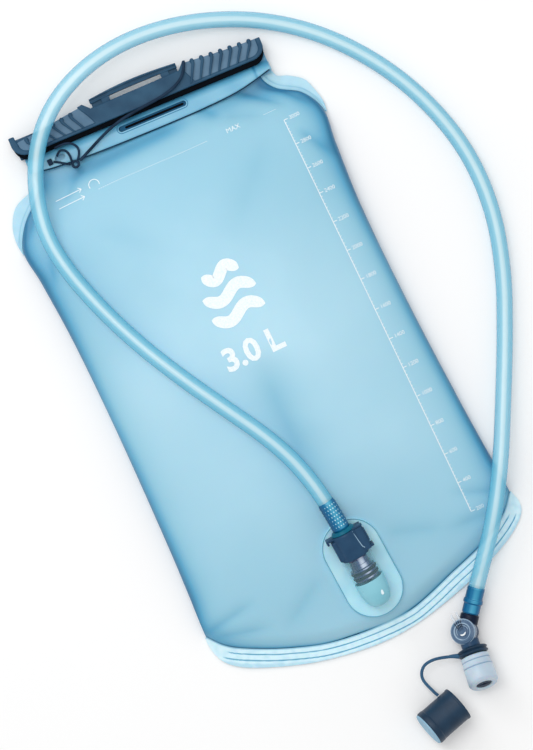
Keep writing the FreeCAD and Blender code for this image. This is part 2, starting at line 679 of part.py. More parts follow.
def shutoff_rotor():
    """Plug with a cross hole that opens or shuts the flow."""
    core = rod(DRUM_CENTRE, DIAL_AXIS, ROTOR_RADIUS, DRUM_LOW + 1.5, DRUM_HIGH + 0.3)
    along = unit(TO_HOSE - TO_MOUTH)
    waist = ring(DRUM_CENTRE, DIAL_AXIS, ROTOR_RADIUS - 0.46, 0.64, DRUM_HIGH - 1.0)
    return core.cut(rod(DRUM_CENTRE, along, STEM_BORE, -8, 8)).cut(waist)


def rotor_ring():
    """Seal ring in the rotor's groove."""
    return ring(DRUM_CENTRE, DIAL_AXIS, ROTOR_RADIUS - 0.52, 0.55, DRUM_HIGH - 1.0)


def shutoff_dial():
    """Clear cap over the drum, with a raised ring and a forked lever."""
    base = DRUM_HIGH + 0.3
    plate = rod(DRUM_CENTRE, DIAL_AXIS, DIAL_RADIUS, base, DIAL_TOP - 0.9)
    crown = rod(DRUM_CENTRE, DIAL_AXIS, DIAL_RADIUS - 1.4, base, DIAL_TOP - 0.4)
    hub = rod(DRUM_CENTRE, DIAL_AXIS, 3.0, base, DIAL_TOP)
    skirt = rod(DRUM_CENTRE, DIAL_AXIS, DIAL_RADIUS, 1.6, base + 0.1)
    skirt = skirt.cut(rod(DRUM_CENTRE, DIAL_AXIS, DRUM_RADIUS + 0.3, 1.0, base))
    ahead = unit(Y_AXIS - DIAL_AXIS * Y_AXIS.dot(DIAL_AXIS) - X_AXIS * 0.12)
    across = DIAL_AXIS.cross(ahead)
    prongs = []
    for side in (-1.9, 1.9):
        root = DRUM_CENTRE + DIAL_AXIS * (DIAL_TOP - 1.7) + across * side
        prongs.append(rod(root, ahead, 0.8, 4.0, 13.0))
    return fuse([plate, crown, hub, skirt] + prongs)


def bite_valve():
    """Soft sheath over the neck with a round recess at its end, where the slit is."""
    body = fuse([
        cone(DRUM_CENTRE, TO_MOUTH, 8.7, BITE_RADIUS, BITE_FROM, BITE_FROM + 6.0),
        rod(DRUM_CENTRE, TO_MOUTH, BITE_RADIUS, BITE_FROM + 6.0, BITE_END - 1.4),
        cone(DRUM_CENTRE, TO_MOUTH, BITE_RADIUS, BITE_RADIUS - 1.4, BITE_END - 1.4, BITE_END),
    ])
    inside = fuse([
        rod(DRUM_CENTRE, TO_MOUTH, NECK_RADIUS, BITE_FROM - 1, 29.0),
        rod(DRUM_CENTRE, TO_MOUTH, NECK_RADIUS + 1.4, 21.0, 23.0),
    ])
    recess = rod(DRUM_CENTRE, TO_MOUTH, 5.1, BITE_END - 3.2, BITE_END + 1)
    across = unit(TO_MOUTH.cross(Z_AXIS))
    slit = rod(DRUM_CENTRE + across * -4, across, 0.25, 0, 8)
    slit.translate(TO_MOUTH * (BITE_END - 3.2))
    return body.cut(inside).cut(recess).cut(slit)


# ---------------------------------------------------------------- dust cap
def cap_ring():
    """Twin-ridged ring that turns in the neck's groove and carries the strap."""
    bore = NECK_RADIUS - 0.6 + 0.3
    sleeve = rod(DRUM_CENTRE, TO_MOUTH, 8.6, CAP_RING_AT - 1.6, CAP_RING_AT + 2.8)
    ridges = [ring(DRUM_CENTRE, TO_MOUTH, 8.9, 1.0, CAP_RING_AT + at) for at in (-0.6, 1.8)]
    return fuse([sleeve] + ridges).cut(rod(DRUM_CENTRE, TO_MOUTH, bore, 0, 30))


def dust_cap():
    """Round cover, open towards the strap's side."""
    turn = math.radians(CAP_TURN)
    axis = V(math.cos(turn), math.sin(turn), 0)
    half = CAP_LENGTH / 2
    outer = rod(CAP_CENTRE, axis, CAP_RADIUS, -half, half)
    outer = soften(outer, 1.2, lambda edge: edge.Length > 60 and edge.CenterOfMass.x < 0)
    bead = ring(CAP_CENTRE, axis, CAP_RADIUS - 0.5, 0.5, half - 0.6)
    inner = rod(CAP_CENTRE, axis, CAP_RADIUS - CAP_WALL, -half + 2.0, half + 1)
    return fuse([outer, bead]).cut(inner)


# ---------------------------------------------------------------- assembly
def build():
    bag = bag_solid(0.0)
    film = bag.cut(bag_solid(FILM))
    lower = below_folds()
    hose_start = port_point(HOUSING_END + 2.5)
    hose_second = port_point(HOUSING_END + 21.0)
    hose_last = DRUM_CENTRE + TO_HOSE * 11.9
    hose_before = DRUM_CENTRE + TO_HOSE * 30.0 + V(0, 0, 1.0)
    hose_route = [tuple(hose_start), tuple(hose_second), *HOSE_ROUTE_MIDDLE,
                  tuple(hose_before), tuple(hose_last)]
    left_shoulder = ((-79.0, 172.0), (-79.6, 164.5), (-84.0, 160.4), (-97.0, 152.8), (-105.4, 142.6),
                     (-108.0, 135.0), (-107.4, 126.0), (-100.0, 128.0), (-76.0, 158.0))
    right_shoulder = ((85.8, 168.5), (86.2, 157.6), (92.0, 153.6), (99.6, 147.2), (104.2, 140.6),
                      (106.2, 131.0), (105.6, 122.5), (98.0, 126.0), (72.0, 158.0), (72.0, 168.5))
    parts = {
        "film_front": largest(film.cut(lower).cut(film_window())),
        "film_back": largest(film.common(lower)),
        "bottom_weld": bottom_weld(bag),
        "shoulder_weld_left": shoulder_weld(bag, left_shoulder),
        "shoulder_weld_right": shoulder_weld(bag, right_shoulder),
        "folded_mouth": folded_mouth(bag),
        "rail_front": rail(FOLD_HIGH),
        "rail_back": rail(FOLD_LOW),
        "slider": slider(),
        "slider_tether": tube("slider_tether", TETHER_ROUTE, TETHER_DIAMETER),
        "tether_eyelet": tether_eyelet(),
        "tether_stop": tether_stop(),
        "port_body": port_body(bag),
        "seat_seal": seat_seal(),
        "poppet": poppet(),
        "poppet_spring": poppet_spring(),
        "plug_stem": plug_stem(),
        "coupling_housing": coupling_housing(),
        "coupling_collar": coupling_collar(),
        "release_button": release_button(),
        "button_spring": button_spring(),
        "hose": tube("hose", hose_route, HOSE_OUTER, HOSE_INNER),
        "valve_elbow": valve_elbow(),
        "shutoff_rotor": shutoff_rotor(),
        "rotor_ring": rotor_ring(),
        "shutoff_dial": shutoff_dial(),
        "bite_valve": bite_valve(),
        "cap_ring": cap_ring(),
        "cap_strap": tube("cap_strap", STRAP_ROUTE, STRAP_DIAMETER),
        "dust_cap": dust_cap(),
    }
    for name in TAIL_ROUTES:
        parts[name] = tether_tail(name)
    for name, at in zip(("plug_ring_front", "plug_ring_rear"), RING_PLACES):
        parts[name] = plug_ring(at)
    print("hose route starts", [tuple(round(c, 2) for c in p) for p in hose_route[:2]])
    print("hose route ends", [tuple(round(c, 2) for c in p) for p in hose_route[-2:]])
    return parts


for part_name, part_shape in build().items():
    box = part_shape.BoundBox
    print(part_name, part_shape.isValid(), len(part_shape.Solids), round(part_shape.Volume, 1),
          [round(value, 1) for value in (box.XMin, box.XMax, box.YMin, box.YMax, box.ZMin, box.ZMax)])
    part_shape.exportStep("parts/" + part_name + ".step")
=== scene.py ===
"""Looks of the hydration bladder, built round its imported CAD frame.

Scene units are metres in the row frame. The numbers below are millimetres, and mm() turns them into metres.
"""

import math

import bmesh
import bpy
from mathutils import Matrix, Vector, noise
from mathutils.kdtree import KDTree


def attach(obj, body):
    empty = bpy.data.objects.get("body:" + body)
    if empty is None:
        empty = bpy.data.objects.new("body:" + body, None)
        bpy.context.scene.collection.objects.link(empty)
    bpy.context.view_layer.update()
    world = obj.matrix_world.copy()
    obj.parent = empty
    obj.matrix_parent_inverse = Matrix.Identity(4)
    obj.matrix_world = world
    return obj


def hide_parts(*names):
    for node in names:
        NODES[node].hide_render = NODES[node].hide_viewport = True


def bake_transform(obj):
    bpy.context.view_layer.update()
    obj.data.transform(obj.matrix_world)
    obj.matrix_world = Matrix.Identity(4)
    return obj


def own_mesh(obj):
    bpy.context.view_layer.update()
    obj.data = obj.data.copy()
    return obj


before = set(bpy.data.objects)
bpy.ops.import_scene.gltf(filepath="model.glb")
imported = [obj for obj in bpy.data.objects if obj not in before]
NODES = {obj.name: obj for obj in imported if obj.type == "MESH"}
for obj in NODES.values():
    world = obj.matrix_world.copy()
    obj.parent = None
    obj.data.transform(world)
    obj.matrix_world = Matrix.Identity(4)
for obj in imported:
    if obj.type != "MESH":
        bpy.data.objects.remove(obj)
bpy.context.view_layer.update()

# ---------------------------------------------------------------- shared sizes, as in the CAD source
SECTIONS = (    # y, left x, right x, underside, fold radius, top
    (-184.6, -12, 16, 0.2, 0.9, 4.6),
    (-181.0, -39, 31, -0.6, 1.5, 8.6),
    (-175.0, -58, 49, -0.6, 2.2, 10.9),
    (-166.0, -79, 76, -0.6, 3.0, 12.5),
    (-155.0, -98, 96, -0.6, 3.8, 14.4),
    (-144.0, -107.6, 105.8, -0.6, 4.8, 16.4),
    (-118.0, -106.1, 104.2, -0.6, 6.4, 20.9),
    (-80.0, -104.2, 102.0, -0.6, 8.0, 27.0),
    (-5.0, -102.2, 99.2, -0.6, 9.0, 33.0),
    (60.0, -102.3, 99.0, -0.6, 9.0, 32.4),
    (104.0, -104.7, 101.9, -0.6, 7.6, 28.6),
    (126.0, -106.5, 103.9, -0.6, 5.4, 23.6),
    (141.0, -98.4, 96.6, -0.6, 3.6, 18.2),
    (151.0, -87.6, 82.6, 0.2, 2.4, 13.4),
    (159.0, -80.4, 77.4, 1.9, 1.7, 9.6),
    (168.0, -79.0, 77.0, 4.3, 1.1, 7.6),
)
CLOSURE = Matrix.Translation((0.9, 182.0, 0)) @ Matrix.Rotation(math.radians(-2.9), 4, "Z")
FROM_CLOSURE = CLOSURE.inverted()
PORT = (Matrix.Translation((0.9, -146.0, 16.25)) @ Matrix.Rotation(math.radians(3.0), 4, "Z")
        @ Matrix.Rotation(math.radians(9.8), 4, "X"))
PORT_AXIS_HEIGHT = 11.4
HOSE_DIAMETER = 10.4
DRUM = Vector((42.3, -211.6, 8.7))
TO_HOSE = Vector((0.62, 0.784, -0.02)).normalized()
TO_MOUTH = Vector((-0.121, -1.0, 0.27)).normalized()
DIAL = TO_MOUTH.cross(TO_HOSE).normalized()
CAP_CENTRE = Vector((6.2, -252.9, 12.0))
CAP_AXIS = Vector((math.cos(math.radians(14.6)), math.sin(math.radians(14.6)), 0))
EYELET = Vector((-52.4, 161.4, 12.6))

HOSE_ROUTE = (
    (-0.61, -117.14, 32.81), (-1.57, -98.93, 35.96), (-7.5, -70, 37), (-17.5, -46, 38.4),
    (-33, -19, 38), (-49.5, 10, 36), (-65, 41, 32.8), (-77.5, 73, 28.8), (-86.5, 105, 25),
    (-88.5, 132, 22.4), (-80.5, 162, 21.8), (-65.5, 186.5, 22.6), (-43.5, 204.5, 22.6),
    (-13, 215.5, 20.6), (20, 217.5, 15.6), (56, 210.5, 10.4), (92, 194.5, 6.8), (123, 170, 5.6),
    (148, 138, 5.5), (165.5, 102, 5.6), (175, 62, 5.5), (173.5, 22, 5.6), (162.5, -16.5, 5.5),
    (146, -52.5, 6.4), (127, -89, 9.4), (108.5, -123, 16.6), (89.5, -152.5, 18.6),
    (72.5, -174, 13.8), (60.91, -188.07, 9.1), (49.68, -202.27, 8.46),
)
TETHER_ROUTE = (
    (37, 190.6, 14.6), (34.6, 184.4, 14.7), (27, 178.6, 14.4), (14, 175.9, 14.1), (-1, 175.4, 13.9),
    (-15, 174.2, 13.5), (-27, 171, 13.1), (-38.5, 166.4, 12.9), (-48.9, 162.2, 12.6),
)
TAIL_ROUTES = {
    "tether_tail_inner": ((-53.8, 164.2, 12.7), (-53.1, 168, 13), (-54.6, 172.4, 13.3),
                          (-58.6, 173.6, 13.2), (-61, 170.8, 12.8)),
    "tether_tail_outer": ((-49.9, 163.4, 12.7), (-47, 166.6, 12.9), (-46.6, 171.4, 13.2),
                          (-50.2, 175.2, 13.3), (-55.2, 176.4, 13.3), (-60, 176, 13.1)),
    "tether_tail_end": ((-55.2, 162.6, 12.6), (-58.8, 164.8, 12.4), (-61.6, 167.2, 12.3),
                        (-64.4, 168.8, 12.2)),
}
STRAP_ROUTE = (
    (28.9, -221.9, 11.4), (22.5, -219.6, 10.6), (15, -218, 9.8), (8.2, -219.2, 9.4),
    (4.2, -225, 9.4), (5.8, -232.5, 9.8), (9, -240, 10.2),
)


# ---------------------------------------------------------------- geometry helpers
def mm(point):
    return Vector(point) * 0.001


def step(low, high, value):
    """Smooth step from 0 at low to 1 at high."""
    share = min(1.0, max(0.0, (value - low) / (high - low)))
    return share * share * (3 - 2 * share)


def mix(a, b, share):
    return a + (b - a) * share


def hermite(p1, p2, m1, m2, t):
    """Cubic from p1 to p2 with slopes m1 and m2 at its ends."""
    return (p1 * (2 * t ** 3 - 3 * t ** 2 + 1) + m1 * (t ** 3 - 2 * t ** 2 + t)
            + p2 * (3 * t ** 2 - 2 * t ** 3) + m2 * (t ** 3 - t ** 2))


def length_of(line):
    """Length in metres of a line in millimetres."""
    return sum((b - a).length for a, b in zip(line, line[1:])) * 0.001


def circle(centre, first, second, radius, count):
    """Points round a centre, in the plane of two unit vectors."""
    return [centre + (first * math.cos(a) + second * math.sin(a)) * radius
            for a in (2 * math.pi * k / count for k in range(count))]


def spread_along(points, count):
    """count points evenly spaced along a polyline."""
    points = [Vector(p) for p in points]
    lengths = [0.0]
    for a, b in zip(points, points[1:]):
        lengths.append(lengths[-1] + (b - a).length)
    out = []
    at = 0
    for i in range(count):
        wanted = lengths[-1] * i / (count - 1)
        while at < len(points) - 2 and lengths[at + 1] < wanted:
            at += 1
        span = max(lengths[at + 1] - lengths[at], 1e-9)
        out.append(points[at].lerp(points[at + 1], (wanted - lengths[at]) / span))
    return out


def smooth_line(points, count):
    """count points evenly along a smooth curve through points."""
    points = [Vector(p) for p in points]
    ends = [points[0] * 2 - points[1]] + points + [points[-1] * 2 - points[-2]]
    dense = []
    for p0, p1, p2, p3 in zip(ends, ends[1:], ends[2:], ends[3:]):
        a, b, c = [max((q - p).length, 1e-6) ** 0.5 for p, q in ((p0, p1), (p1, p2), (p2, p3))]
        m1 = (p1 - p0) / a - (p2 - p0) / (a + b) + (p2 - p1) / b
        m2 = (p2 - p1) / b - (p3 - p1) / (b + c) + (p3 - p2) / c
        m1, m2 = m1 * b, m2 * b
        dense += [hermite(p1, p2, m1, m2, k / 12) for k in range(12)]
    dense.append(points[-1])
    return spread_along(dense, count)


def placed(name, data):
    """New object in the scene."""
    obj = bpy.data.objects.new(name, data)
    bpy.context.scene.collection.objects.link(obj)
    return obj


def clean(mesh, reach):
    """Merges points closer than reach, in metres, turns the faces outwards and smooths them."""
    work = bmesh.new()
    work.from_mesh(mesh)
    bmesh.ops.remove_doubles(work, verts=work.verts, dist=reach)
    bmesh.ops.recalc_face_normals(work, faces=work.faces)
    work.to_mesh(mesh)
    work.free()
    mesh.shade_smooth()


def piece(name, points, faces, place=None, crease=40):
    """Mesh object from points in millimetres, smooth except over sharp creases."""
    mesh = bpy.data.meshes.new(name)
    if place is not None:
        points = [place @ Vector(p) for p in points]
    mesh.from_pydata([mm(p) for p in points], [], faces)
    clean(mesh, 2e-6)
    mesh.set_sharp_from_angle(angle=math.radians(crease))
    return placed(name, mesh)


def apply(obj):
    """Bakes the object's modifiers into its mesh."""
    graph = bpy.context.evaluated_depsgraph_get()
    mesh = bpy.data.meshes.new_from_object(obj.evaluated_get(graph))
    obj.modifiers.clear()
    old = obj.data
    obj.data = mesh
    bpy.data.meshes.remove(old)
    return obj


def join(name, objects):
    """One mesh object from several."""
    made = bmesh.new()
    for obj in objects:
        apply(obj)
        made.from_mesh(obj.data)
        bpy.data.objects.remove(obj)
    mesh = bpy.data.meshes.new(name)
    made.to_mesh(mesh)
    made.free()
    return placed(name, mesh)


def rounded(obj, width):
    """Rounds the edges of a moulded piece."""
    bevel = obj.modifiers.new("round", "BEVEL")
    bevel.width = width * 0.001
    bevel.segments = 3
    bevel.limit_method = "ANGLE"
    bevel.angle_limit = math.radians(34)
    bevel.harden_normals = True
    return obj


def frame_along(axis):
    """Two unit vectors across an axis."""
    axis = Vector(axis).normalized()
    side = Vector((0, 0, 1)) if abs(axis.z) < 0.9 else Vector((1, 0, 0))
    first = axis.cross(side).normalized()
    return first, axis.cross(first)


def softened(profile, radius):
    """The profile with each inner corner replaced by a small curve."""
    out = [profile[0]]
    for before, corner, after in zip(profile, profile[1:], profile[2:]):
        a, c, b = Vector(before), Vector(corner), Vector(after)
        cut_a = min(radius, (a - c).length * 0.45)
        cut_b = min(radius, (b - c).length * 0.45)
        start = c + (a - c).normalized() * cut_a
        end = c + (b - c).normalized() * cut_b
        for k in range(4):
            t = k / 3
            out.append(tuple(start * (1 - t) ** 2 + c * 2 * t * (1 - t) + end * t ** 2))
    out.append(profile[-1])
    return out


def lathe(name, origin, axis, profile, radius=0.3, segments=72, crease=50):
    """Turned piece: profile is (distance along the axis, radius) from one end round to the other."""
    profile = softened(profile, radius) if radius else list(profile)
    axis = Vector(axis).normalized()
    first, second = frame_along(axis)
    points = []
    for along, out in profile:
        for k in range(segments):
            turn = 2 * math.pi * k / segments
            points.append(origin + axis * along + (first * math.cos(turn) + second * math.sin(turn)) * out)
    faces = []
    for row in range(len(profile) - 1):
        for k in range(segments):
            nxt = (k + 1) % segments
            faces.append((row * segments + k, row * segments + nxt,
                          (row + 1) * segments + nxt, (row + 1) * segments + k))
    return piece(name, points, faces, crease=crease)


def slab(name, outline, low, high, width, place=None):
    """Flat moulded piece over a plan outline, with rounded edges."""
    count = len(outline)
    points = [(x, y, low) for x, y in outline] + [(x, y, high) for x, y in outline]
    faces = [tuple(range(count)), tuple(range(count, 2 * count))]
    faces += [(k, (k + 1) % count, count + (k + 1) % count, count + k) for k in range(count)]
    return rounded(piece(name, points, faces, place, crease=60), width)


def block(name, low, high, width, place=None):
    outline = [(low[0], low[1]), (high[0], low[1]), (high[0], high[1]), (low[0], high[1])]
    return slab(name, outline, low[2], high[2], width, place)


def stadium(width, length, count=16):
    """Plan outline with round ends, long way along y."""
    radius = width / 2
    half = length / 2 - radius
    top = [(radius * math.cos(math.pi * k / count), half + radius * math.sin(math.pi * k / count))
           for k in range(count + 1)]
    return top + [(-x, -y) for x, y in top]


def tube(name, line, radius, segments=14, closed=False, taper=None):
    """Round bar along points in millimetres; taper(share) scales its radius."""
    line = [Vector(p) for p in line]
    count = len(line)
    points = []
    up = Vector((0, 0, 1))
    for i, p in enumerate(line):
        after = line[(i + 1) % count] if closed else line[min(i + 1, count - 1)]
        before = line[i - 1] if closed or i else line[0]
        ahead = (after - before).normalized()
        side = ahead.cross(up).normalized()
        over = side.cross(ahead)
        size = radius * (taper(i / (count - 1)) if taper else 1)
        for k in range(segments):
            turn = 2 * math.pi * k / segments
            points.append(p + (side * math.cos(turn) + over * math.sin(turn)) * size)
    faces = []
    for i in range(count if closed else count - 1):
        j = (i + 1) % count
        for k in range(segments):
            nxt = (k + 1) % segments
            faces.append((i * segments + k, i * segments + nxt, j * segments + nxt, j * segments + k))
    if not closed:
        faces.append(tuple(range(segments)))
        faces.append(tuple(range((count - 1) * segments, count * segments)))
    return piece(name, points, faces, crease=60)


def grid(name, columns, rows, at, place=None):
    """Sheet of columns x rows points, at(u, v) with both from 0 to 1."""
    points = [at(i / (columns - 1), j / (rows - 1)) for j in range(rows) for i in range(columns)]
    faces = [(j * columns + i, j * columns + i + 1, (j + 1) * columns + i + 1, (j + 1) * columns + i)
             for j in range(rows - 1) for i in range(columns - 1)]
    return piece(name, points, faces, place, crease=80)


def thicken(obj, thickness):
    shell = obj.modifiers.new("thickness", "SOLIDIFY")
    shell.thickness = thickness * 0.001
    shell.offset = 0
    return obj


def nurbs(name, points):
    """Open NURBS curve with the route's points as its control points."""
    curve = bpy.data.curves.new(name, "CURVE")
    curve.dimensions = "3D"
    curve.resolution_u = 12
    spline = curve.splines.new("NURBS")
    spline.points.add(len(points) - 1)
    for target, point in zip(spline.points, points):
        target.co = (*mm(point), 1)
    spline.order_u = 3
    spline.use_endpoint_u = True
    return placed(name, curve)


def route_line(points):
    """Points in millimetres read from the route's NURBS spline."""
    bare = nurbs("bare_route", points)
    mesh = bpy.data.meshes.new_from_object(bare)
    line = [Vector(v.co) * 1000 for v in mesh.vertices]
    bpy.data.objects.remove(bare)
    return line


# ---------------------------------------------------------------- materials
def srgb(red, green, blue):
    """Linear colour from 0-255 screen values."""
    out = []
    for value in (red, green, blue):
        share = value / 255
        out.append(share / 12.92 if share <= 0.04045 else ((share + 0.055) / 1.055) ** 2.4)
    return (*out, 1)


class Look:
    """A Principled material that is built up node by node."""

    def __init__(self, name, roughness, **sockets):
        self.material = bpy.data.materials.new(name)
        self.material.use_nodes = True
        self.tree = self.material.node_tree
        self.shader = self.tree.nodes["Principled BSDF"]
        self.coords = self.node("ShaderNodeTexCoord").outputs["Object"]
        self.shader.inputs["Roughness"].default_value = roughness
        for socket, value in sockets.items():
            self.shader.inputs[socket.replace("_", " ")].default_value = value

    def node(self, kind, **settings):
        made = self.tree.nodes.new(kind)
        for key, value in settings.items():
            setattr(made, key, value)
        return made

    def link(self, source, target):
        self.tree.links.new(source, target)

    def noise(self, scale, detail=3.0):
        made = self.node("ShaderNodeTexNoise")
        made.inputs["Scale"].default_value = scale
        made.inputs["Detail"].default_value = detail
        self.link(self.coords, made.inputs["Vector"])
        return made.outputs["Fac"]

    def ramp(self, source, stops):
        made = self.node("ShaderNodeValToRGB")
        elements = made.color_ramp.elements
        while len(elements) < len(stops):
            elements.new(0.5)
        for element, (place, colour) in zip(elements, stops):
            element.position = place
            element.color = colour
        self.link(source, made.inputs["Fac"])
        return made.outputs["Color"]

    def between(self, source, low, high):
        made = self.node("ShaderNodeMapRange")
        made.inputs["To Min"].default_value = low
        made.inputs["To Max"].default_value = high
        self.link(source, made.inputs["Value"])
        return made.outputs["Result"]

    def colour(self, source):
        self.link(source, self.shader.inputs["Base Color"])
        return self

    def rough(self, source, low, high):
        self.link(self.between(source, low, high), self.shader.inputs["Roughness"])
        return self

    def bump(self, source, depth):
        """Relief of that depth in millimetres."""
        made = self.node("ShaderNodeBump")
        made.inputs["Strength"].default_value = 1.0
        made.inputs["Distance"].default_value = depth * 0.001
        self.link(source, made.inputs["Height"])
        self.link(made.outputs["Normal"], self.shader.inputs["Normal"])
        return self


def moulded(name, dark, light, roughness, grain=1400, relief=0.03, **sockets):
    """Moulded plastic or rubber: cloudy colour, uneven gloss and a fine spark-eroded grain."""
    sockets.setdefault("Specular_IOR_Level", 0.14)
    look = Look(name, roughness, **sockets)
    cloud = look.noise(90, 4)
    look.colour(look.ramp(cloud, [(0.32, srgb(*dark)), (0.68, srgb(*light))]))
    look.rough(look.noise(260, 2), roughness - 0.06, roughness + 0.08)
    look.bump(look.noise(grain, 2), relief)
    return look.material


def clear(name, dark, light, roughness, ior=1.45, **sockets):
    """Clear moulding: glass with faint flow lines."""
    look = Look(name, roughness, IOR=ior, **sockets)
    look.colour(look.ramp(look.noise(60, 2), [(0.3, srgb(*dark)), (0.7, srgb(*light))]))
    look.rough(look.noise(180, 2), roughness * 0.7, roughness * 1.4)
    look.bump(look.noise(240, 1), 0.02)
    return look.material


def film_look():
    """Soft translucent film: its painted tone is the film's deeper colour where layers fold together with
    painted shade at the folds, in the creases and under the flap, with a fine matt finish.
    """
    look = Look("film", 0.42, Subsurface_Weight=0.12, Subsurface_Scale=0.006, IOR=1.45, Coat_Weight=0.12,
                Coat_Roughness=0.32)
    tone = look.node("ShaderNodeAttribute", attribute_name="tone").outputs["Fac"]
    cloud = look.between(look.noise(28, 3), -0.025, 0.025)
    total = look.node("ShaderNodeMath", operation="ADD")
    look.link(tone, total.inputs[0])
    look.link(cloud, total.inputs[1])
    look.colour(look.ramp(total.outputs[0], [
        (0.0, srgb(30, 114, 156)), (0.3, srgb(91, 167, 202)), (0.62, srgb(144, 199, 221)),
        (0.9, srgb(180, 222, 239)), (1.0, srgb(214, 243, 253))]))
    look.rough(look.noise(140, 3), 0.36, 0.5)
    look.bump(look.noise(1800, 2), 0.015)
    return look.material


def painted_highlight_look(name, stops, way, roughness, **sockets):
    """Glossy round part whose colour runs by how far its surface turns from a way: a painted highlight where
    it faces that way and painted shade towards its sides, which on the hose is partly the deeper look of its
    clear wall seen edge-on.
    """
    look = Look(name, roughness, **sockets)
    dot = look.node("ShaderNodeVectorMath", operation="DOT_PRODUCT")
    look.link(look.node("ShaderNodeTexCoord").outputs["Normal"], dot.inputs[0])
    dot.inputs[1].default_value = Vector(way).normalized()
    size = look.node("ShaderNodeMath", operation="ABSOLUTE")
    look.link(dot.outputs["Value"], size.inputs[0])
    total = look.node("ShaderNodeMath", operation="ADD")
    look.link(size.outputs[0], total.inputs[0])
    look.link(look.between(look.noise(45, 2), -0.02, 0.02), total.inputs[1])
    look.colour(look.ramp(total.outputs[0], [(place, srgb(*colour)) for place, colour in stops]))
    look.rough(look.noise(300, 2), roughness * 0.85, roughness * 1.15)
    return look.material


def print_look():
    """Screen-printed white ink, slightly uneven."""
    look = Look("print", 0.55)
    look.colour(look.ramp(look.noise(900, 2), [(0.3, srgb(228, 243, 250)), (0.7, srgb(248, 252, 254))]))
    look.bump(look.noise(1500, 2), 0.01)
    return look.material


SLATE = moulded("slate_plastic", (32, 70, 98), (44, 84, 112), 0.42)
SLATE_PANEL = moulded("slate_panel", (84, 116, 142), (100, 132, 158), 0.5)
# Near-black copy of the slider plastic, for painted shadow under the slider and in the flap's slot.
SLATE_DEEP = moulded("slate_shadow_side", (3, 7, 13), (6, 12, 20), 0.6, Specular_IOR_Level=0.03)
COUPLING = moulded("coupling_plastic", (30, 62, 92), (42, 76, 107), 0.34)
# Pale colour of the housing's seam: a painted highlight on that ridge.
COUPLING_SEAM_HIGHLIGHT = moulded("coupling_seam_highlight", (120, 156, 184), (150, 184, 208), 0.34)
# Barb sleeve and its pads: deep blue, with a painted highlight along the crown.
BARB_PADS = painted_highlight_look("barb_pads", ((0, (4, 78, 122)), (0.78, (16, 104, 150)), (0.93, (160, 220, 238)),
                                   (1, (214, 245, 252))), (0.2, 0.1, 1), 0.25)
BARB = painted_highlight_look("barb_plastic", ((0, (2, 66, 106)), (0.55, (4, 90, 138)), (0.86, (22, 112, 158)),
                                 (0.97, (64, 156, 192)), (1, (90, 176, 206))), (0.2, 0.1, 1), 0.24,
                Coat_Weight=0.1, Specular_IOR_Level=0.25)
# Plug stem: navy, with a painted highlight along the crown.
PLUG = painted_highlight_look("plug_plastic", ((0, (14, 20, 48)), (0.84, (40, 54, 100)), (0.94, (66, 78, 126)),
                                 (0.985, (186, 194, 222)), (1, (214, 222, 240))), (0.25, 0.05, 1), 0.16,
                Coat_Weight=0.6)
CORD = moulded("tether_cord", (14, 34, 54), (30, 54, 78), 0.6, grain=2600, relief=0.12)
DARK = moulded("collar_plastic", (8, 20, 40), (18, 32, 56), 0.3)
VALVE = moulded("valve_plastic", (34, 62, 92), (52, 84, 116), 0.3)
RUBBER = moulded("cap_rubber", (10, 42, 66), (20, 54, 80), 0.4, relief=0.04,
                 Specular_IOR_Level=0.35)
CAP_FACE = moulded("cap_face", (138, 180, 206), (158, 196, 218), 0.5)
STRAP = moulded("strap_rubber", (42, 80, 112), (58, 98, 130), 0.5)
SEAL = moulded("seal_rubber", (10, 12, 28), (20, 22, 40), 0.3, Specular_IOR_Level=0.3)
STEEL = moulded("spring_steel", (150, 154, 160), (190, 194, 200), 0.28, Metallic=1.0)
TEAL = moulded("ring_plastic", (8, 92, 118), (18, 108, 134), 0.3)
FILM = film_look()
# Hose: a painted highlight along its top; deeper towards its sides, partly its clear wall seen edge-on and
# partly painted shade.
HOSE = painted_highlight_look("hose", ((0.1, (52, 160, 200)), (0.4, (96, 194, 226)), (0.7, (122, 206, 233)),
                         (0.92, (150, 221, 243)), (0.965, (202, 243, 254)), (1.0, (214, 248, 255))),
                         (0, 0, 1),
                0.24, IOR=1.4, Alpha=0.55, Coat_Weight=0.35, Coat_Roughness=0.2)
PRINT = print_look()
PORT_CLEAR = clear("port_clear", (150, 216, 230), (178, 230, 240), 0.12, Alpha=0.07,
                   Specular_IOR_Level=0.3)
PORT_NOSE = clear("port_nose", (132, 202, 220), (148, 214, 230), 0.3, Alpha=0.9)
FLANGE = clear("port_flange", (172, 226, 244), (190, 236, 250), 0.4, Subsurface_Weight=0.2,
               Subsurface_Scale=0.004)
# Near-white clear colour for a painted highlight on the port's nose.
GLINT = clear("port_painted_glint", (226, 246, 252), (240, 252, 255), 0.2)
DIAL_COVER = clear("dial_cover", (66, 96, 128), (88, 118, 148), 0.2, Coat_Weight=0.6)
DIAL_PALE = clear("dial_pale", (140, 166, 190), (164, 188, 208), 0.2, Coat_Weight=0.6)
DIAL_CLEAR = clear("dial_clear", (214, 226, 238), (234, 242, 250), 0.1, Alpha=0.32)
SILICONE = clear("silicone", (178, 198, 214), (202, 218, 231), 0.34, ior=1.4,
                 Subsurface_Weight=0.3, Subsurface_Scale=0.004)
# Darker silicone for the painted shade in the mouthpiece's grooves.
GROOVE = clear("silicone_groove", (132, 160, 186), (152, 178, 202), 0.34)
# Dark colour for the painted shade in the mouthpiece's open end.
RECESS = moulded("mouthpiece_recess", (10, 32, 56), (20, 46, 74), 0.4)
MARK = moulded("dial_mark", (232, 240, 245), (248, 251, 253), 0.4)
SLOT_BLUE = moulded("slot_shade", (10, 78, 114), (22, 94, 132), 0.5)
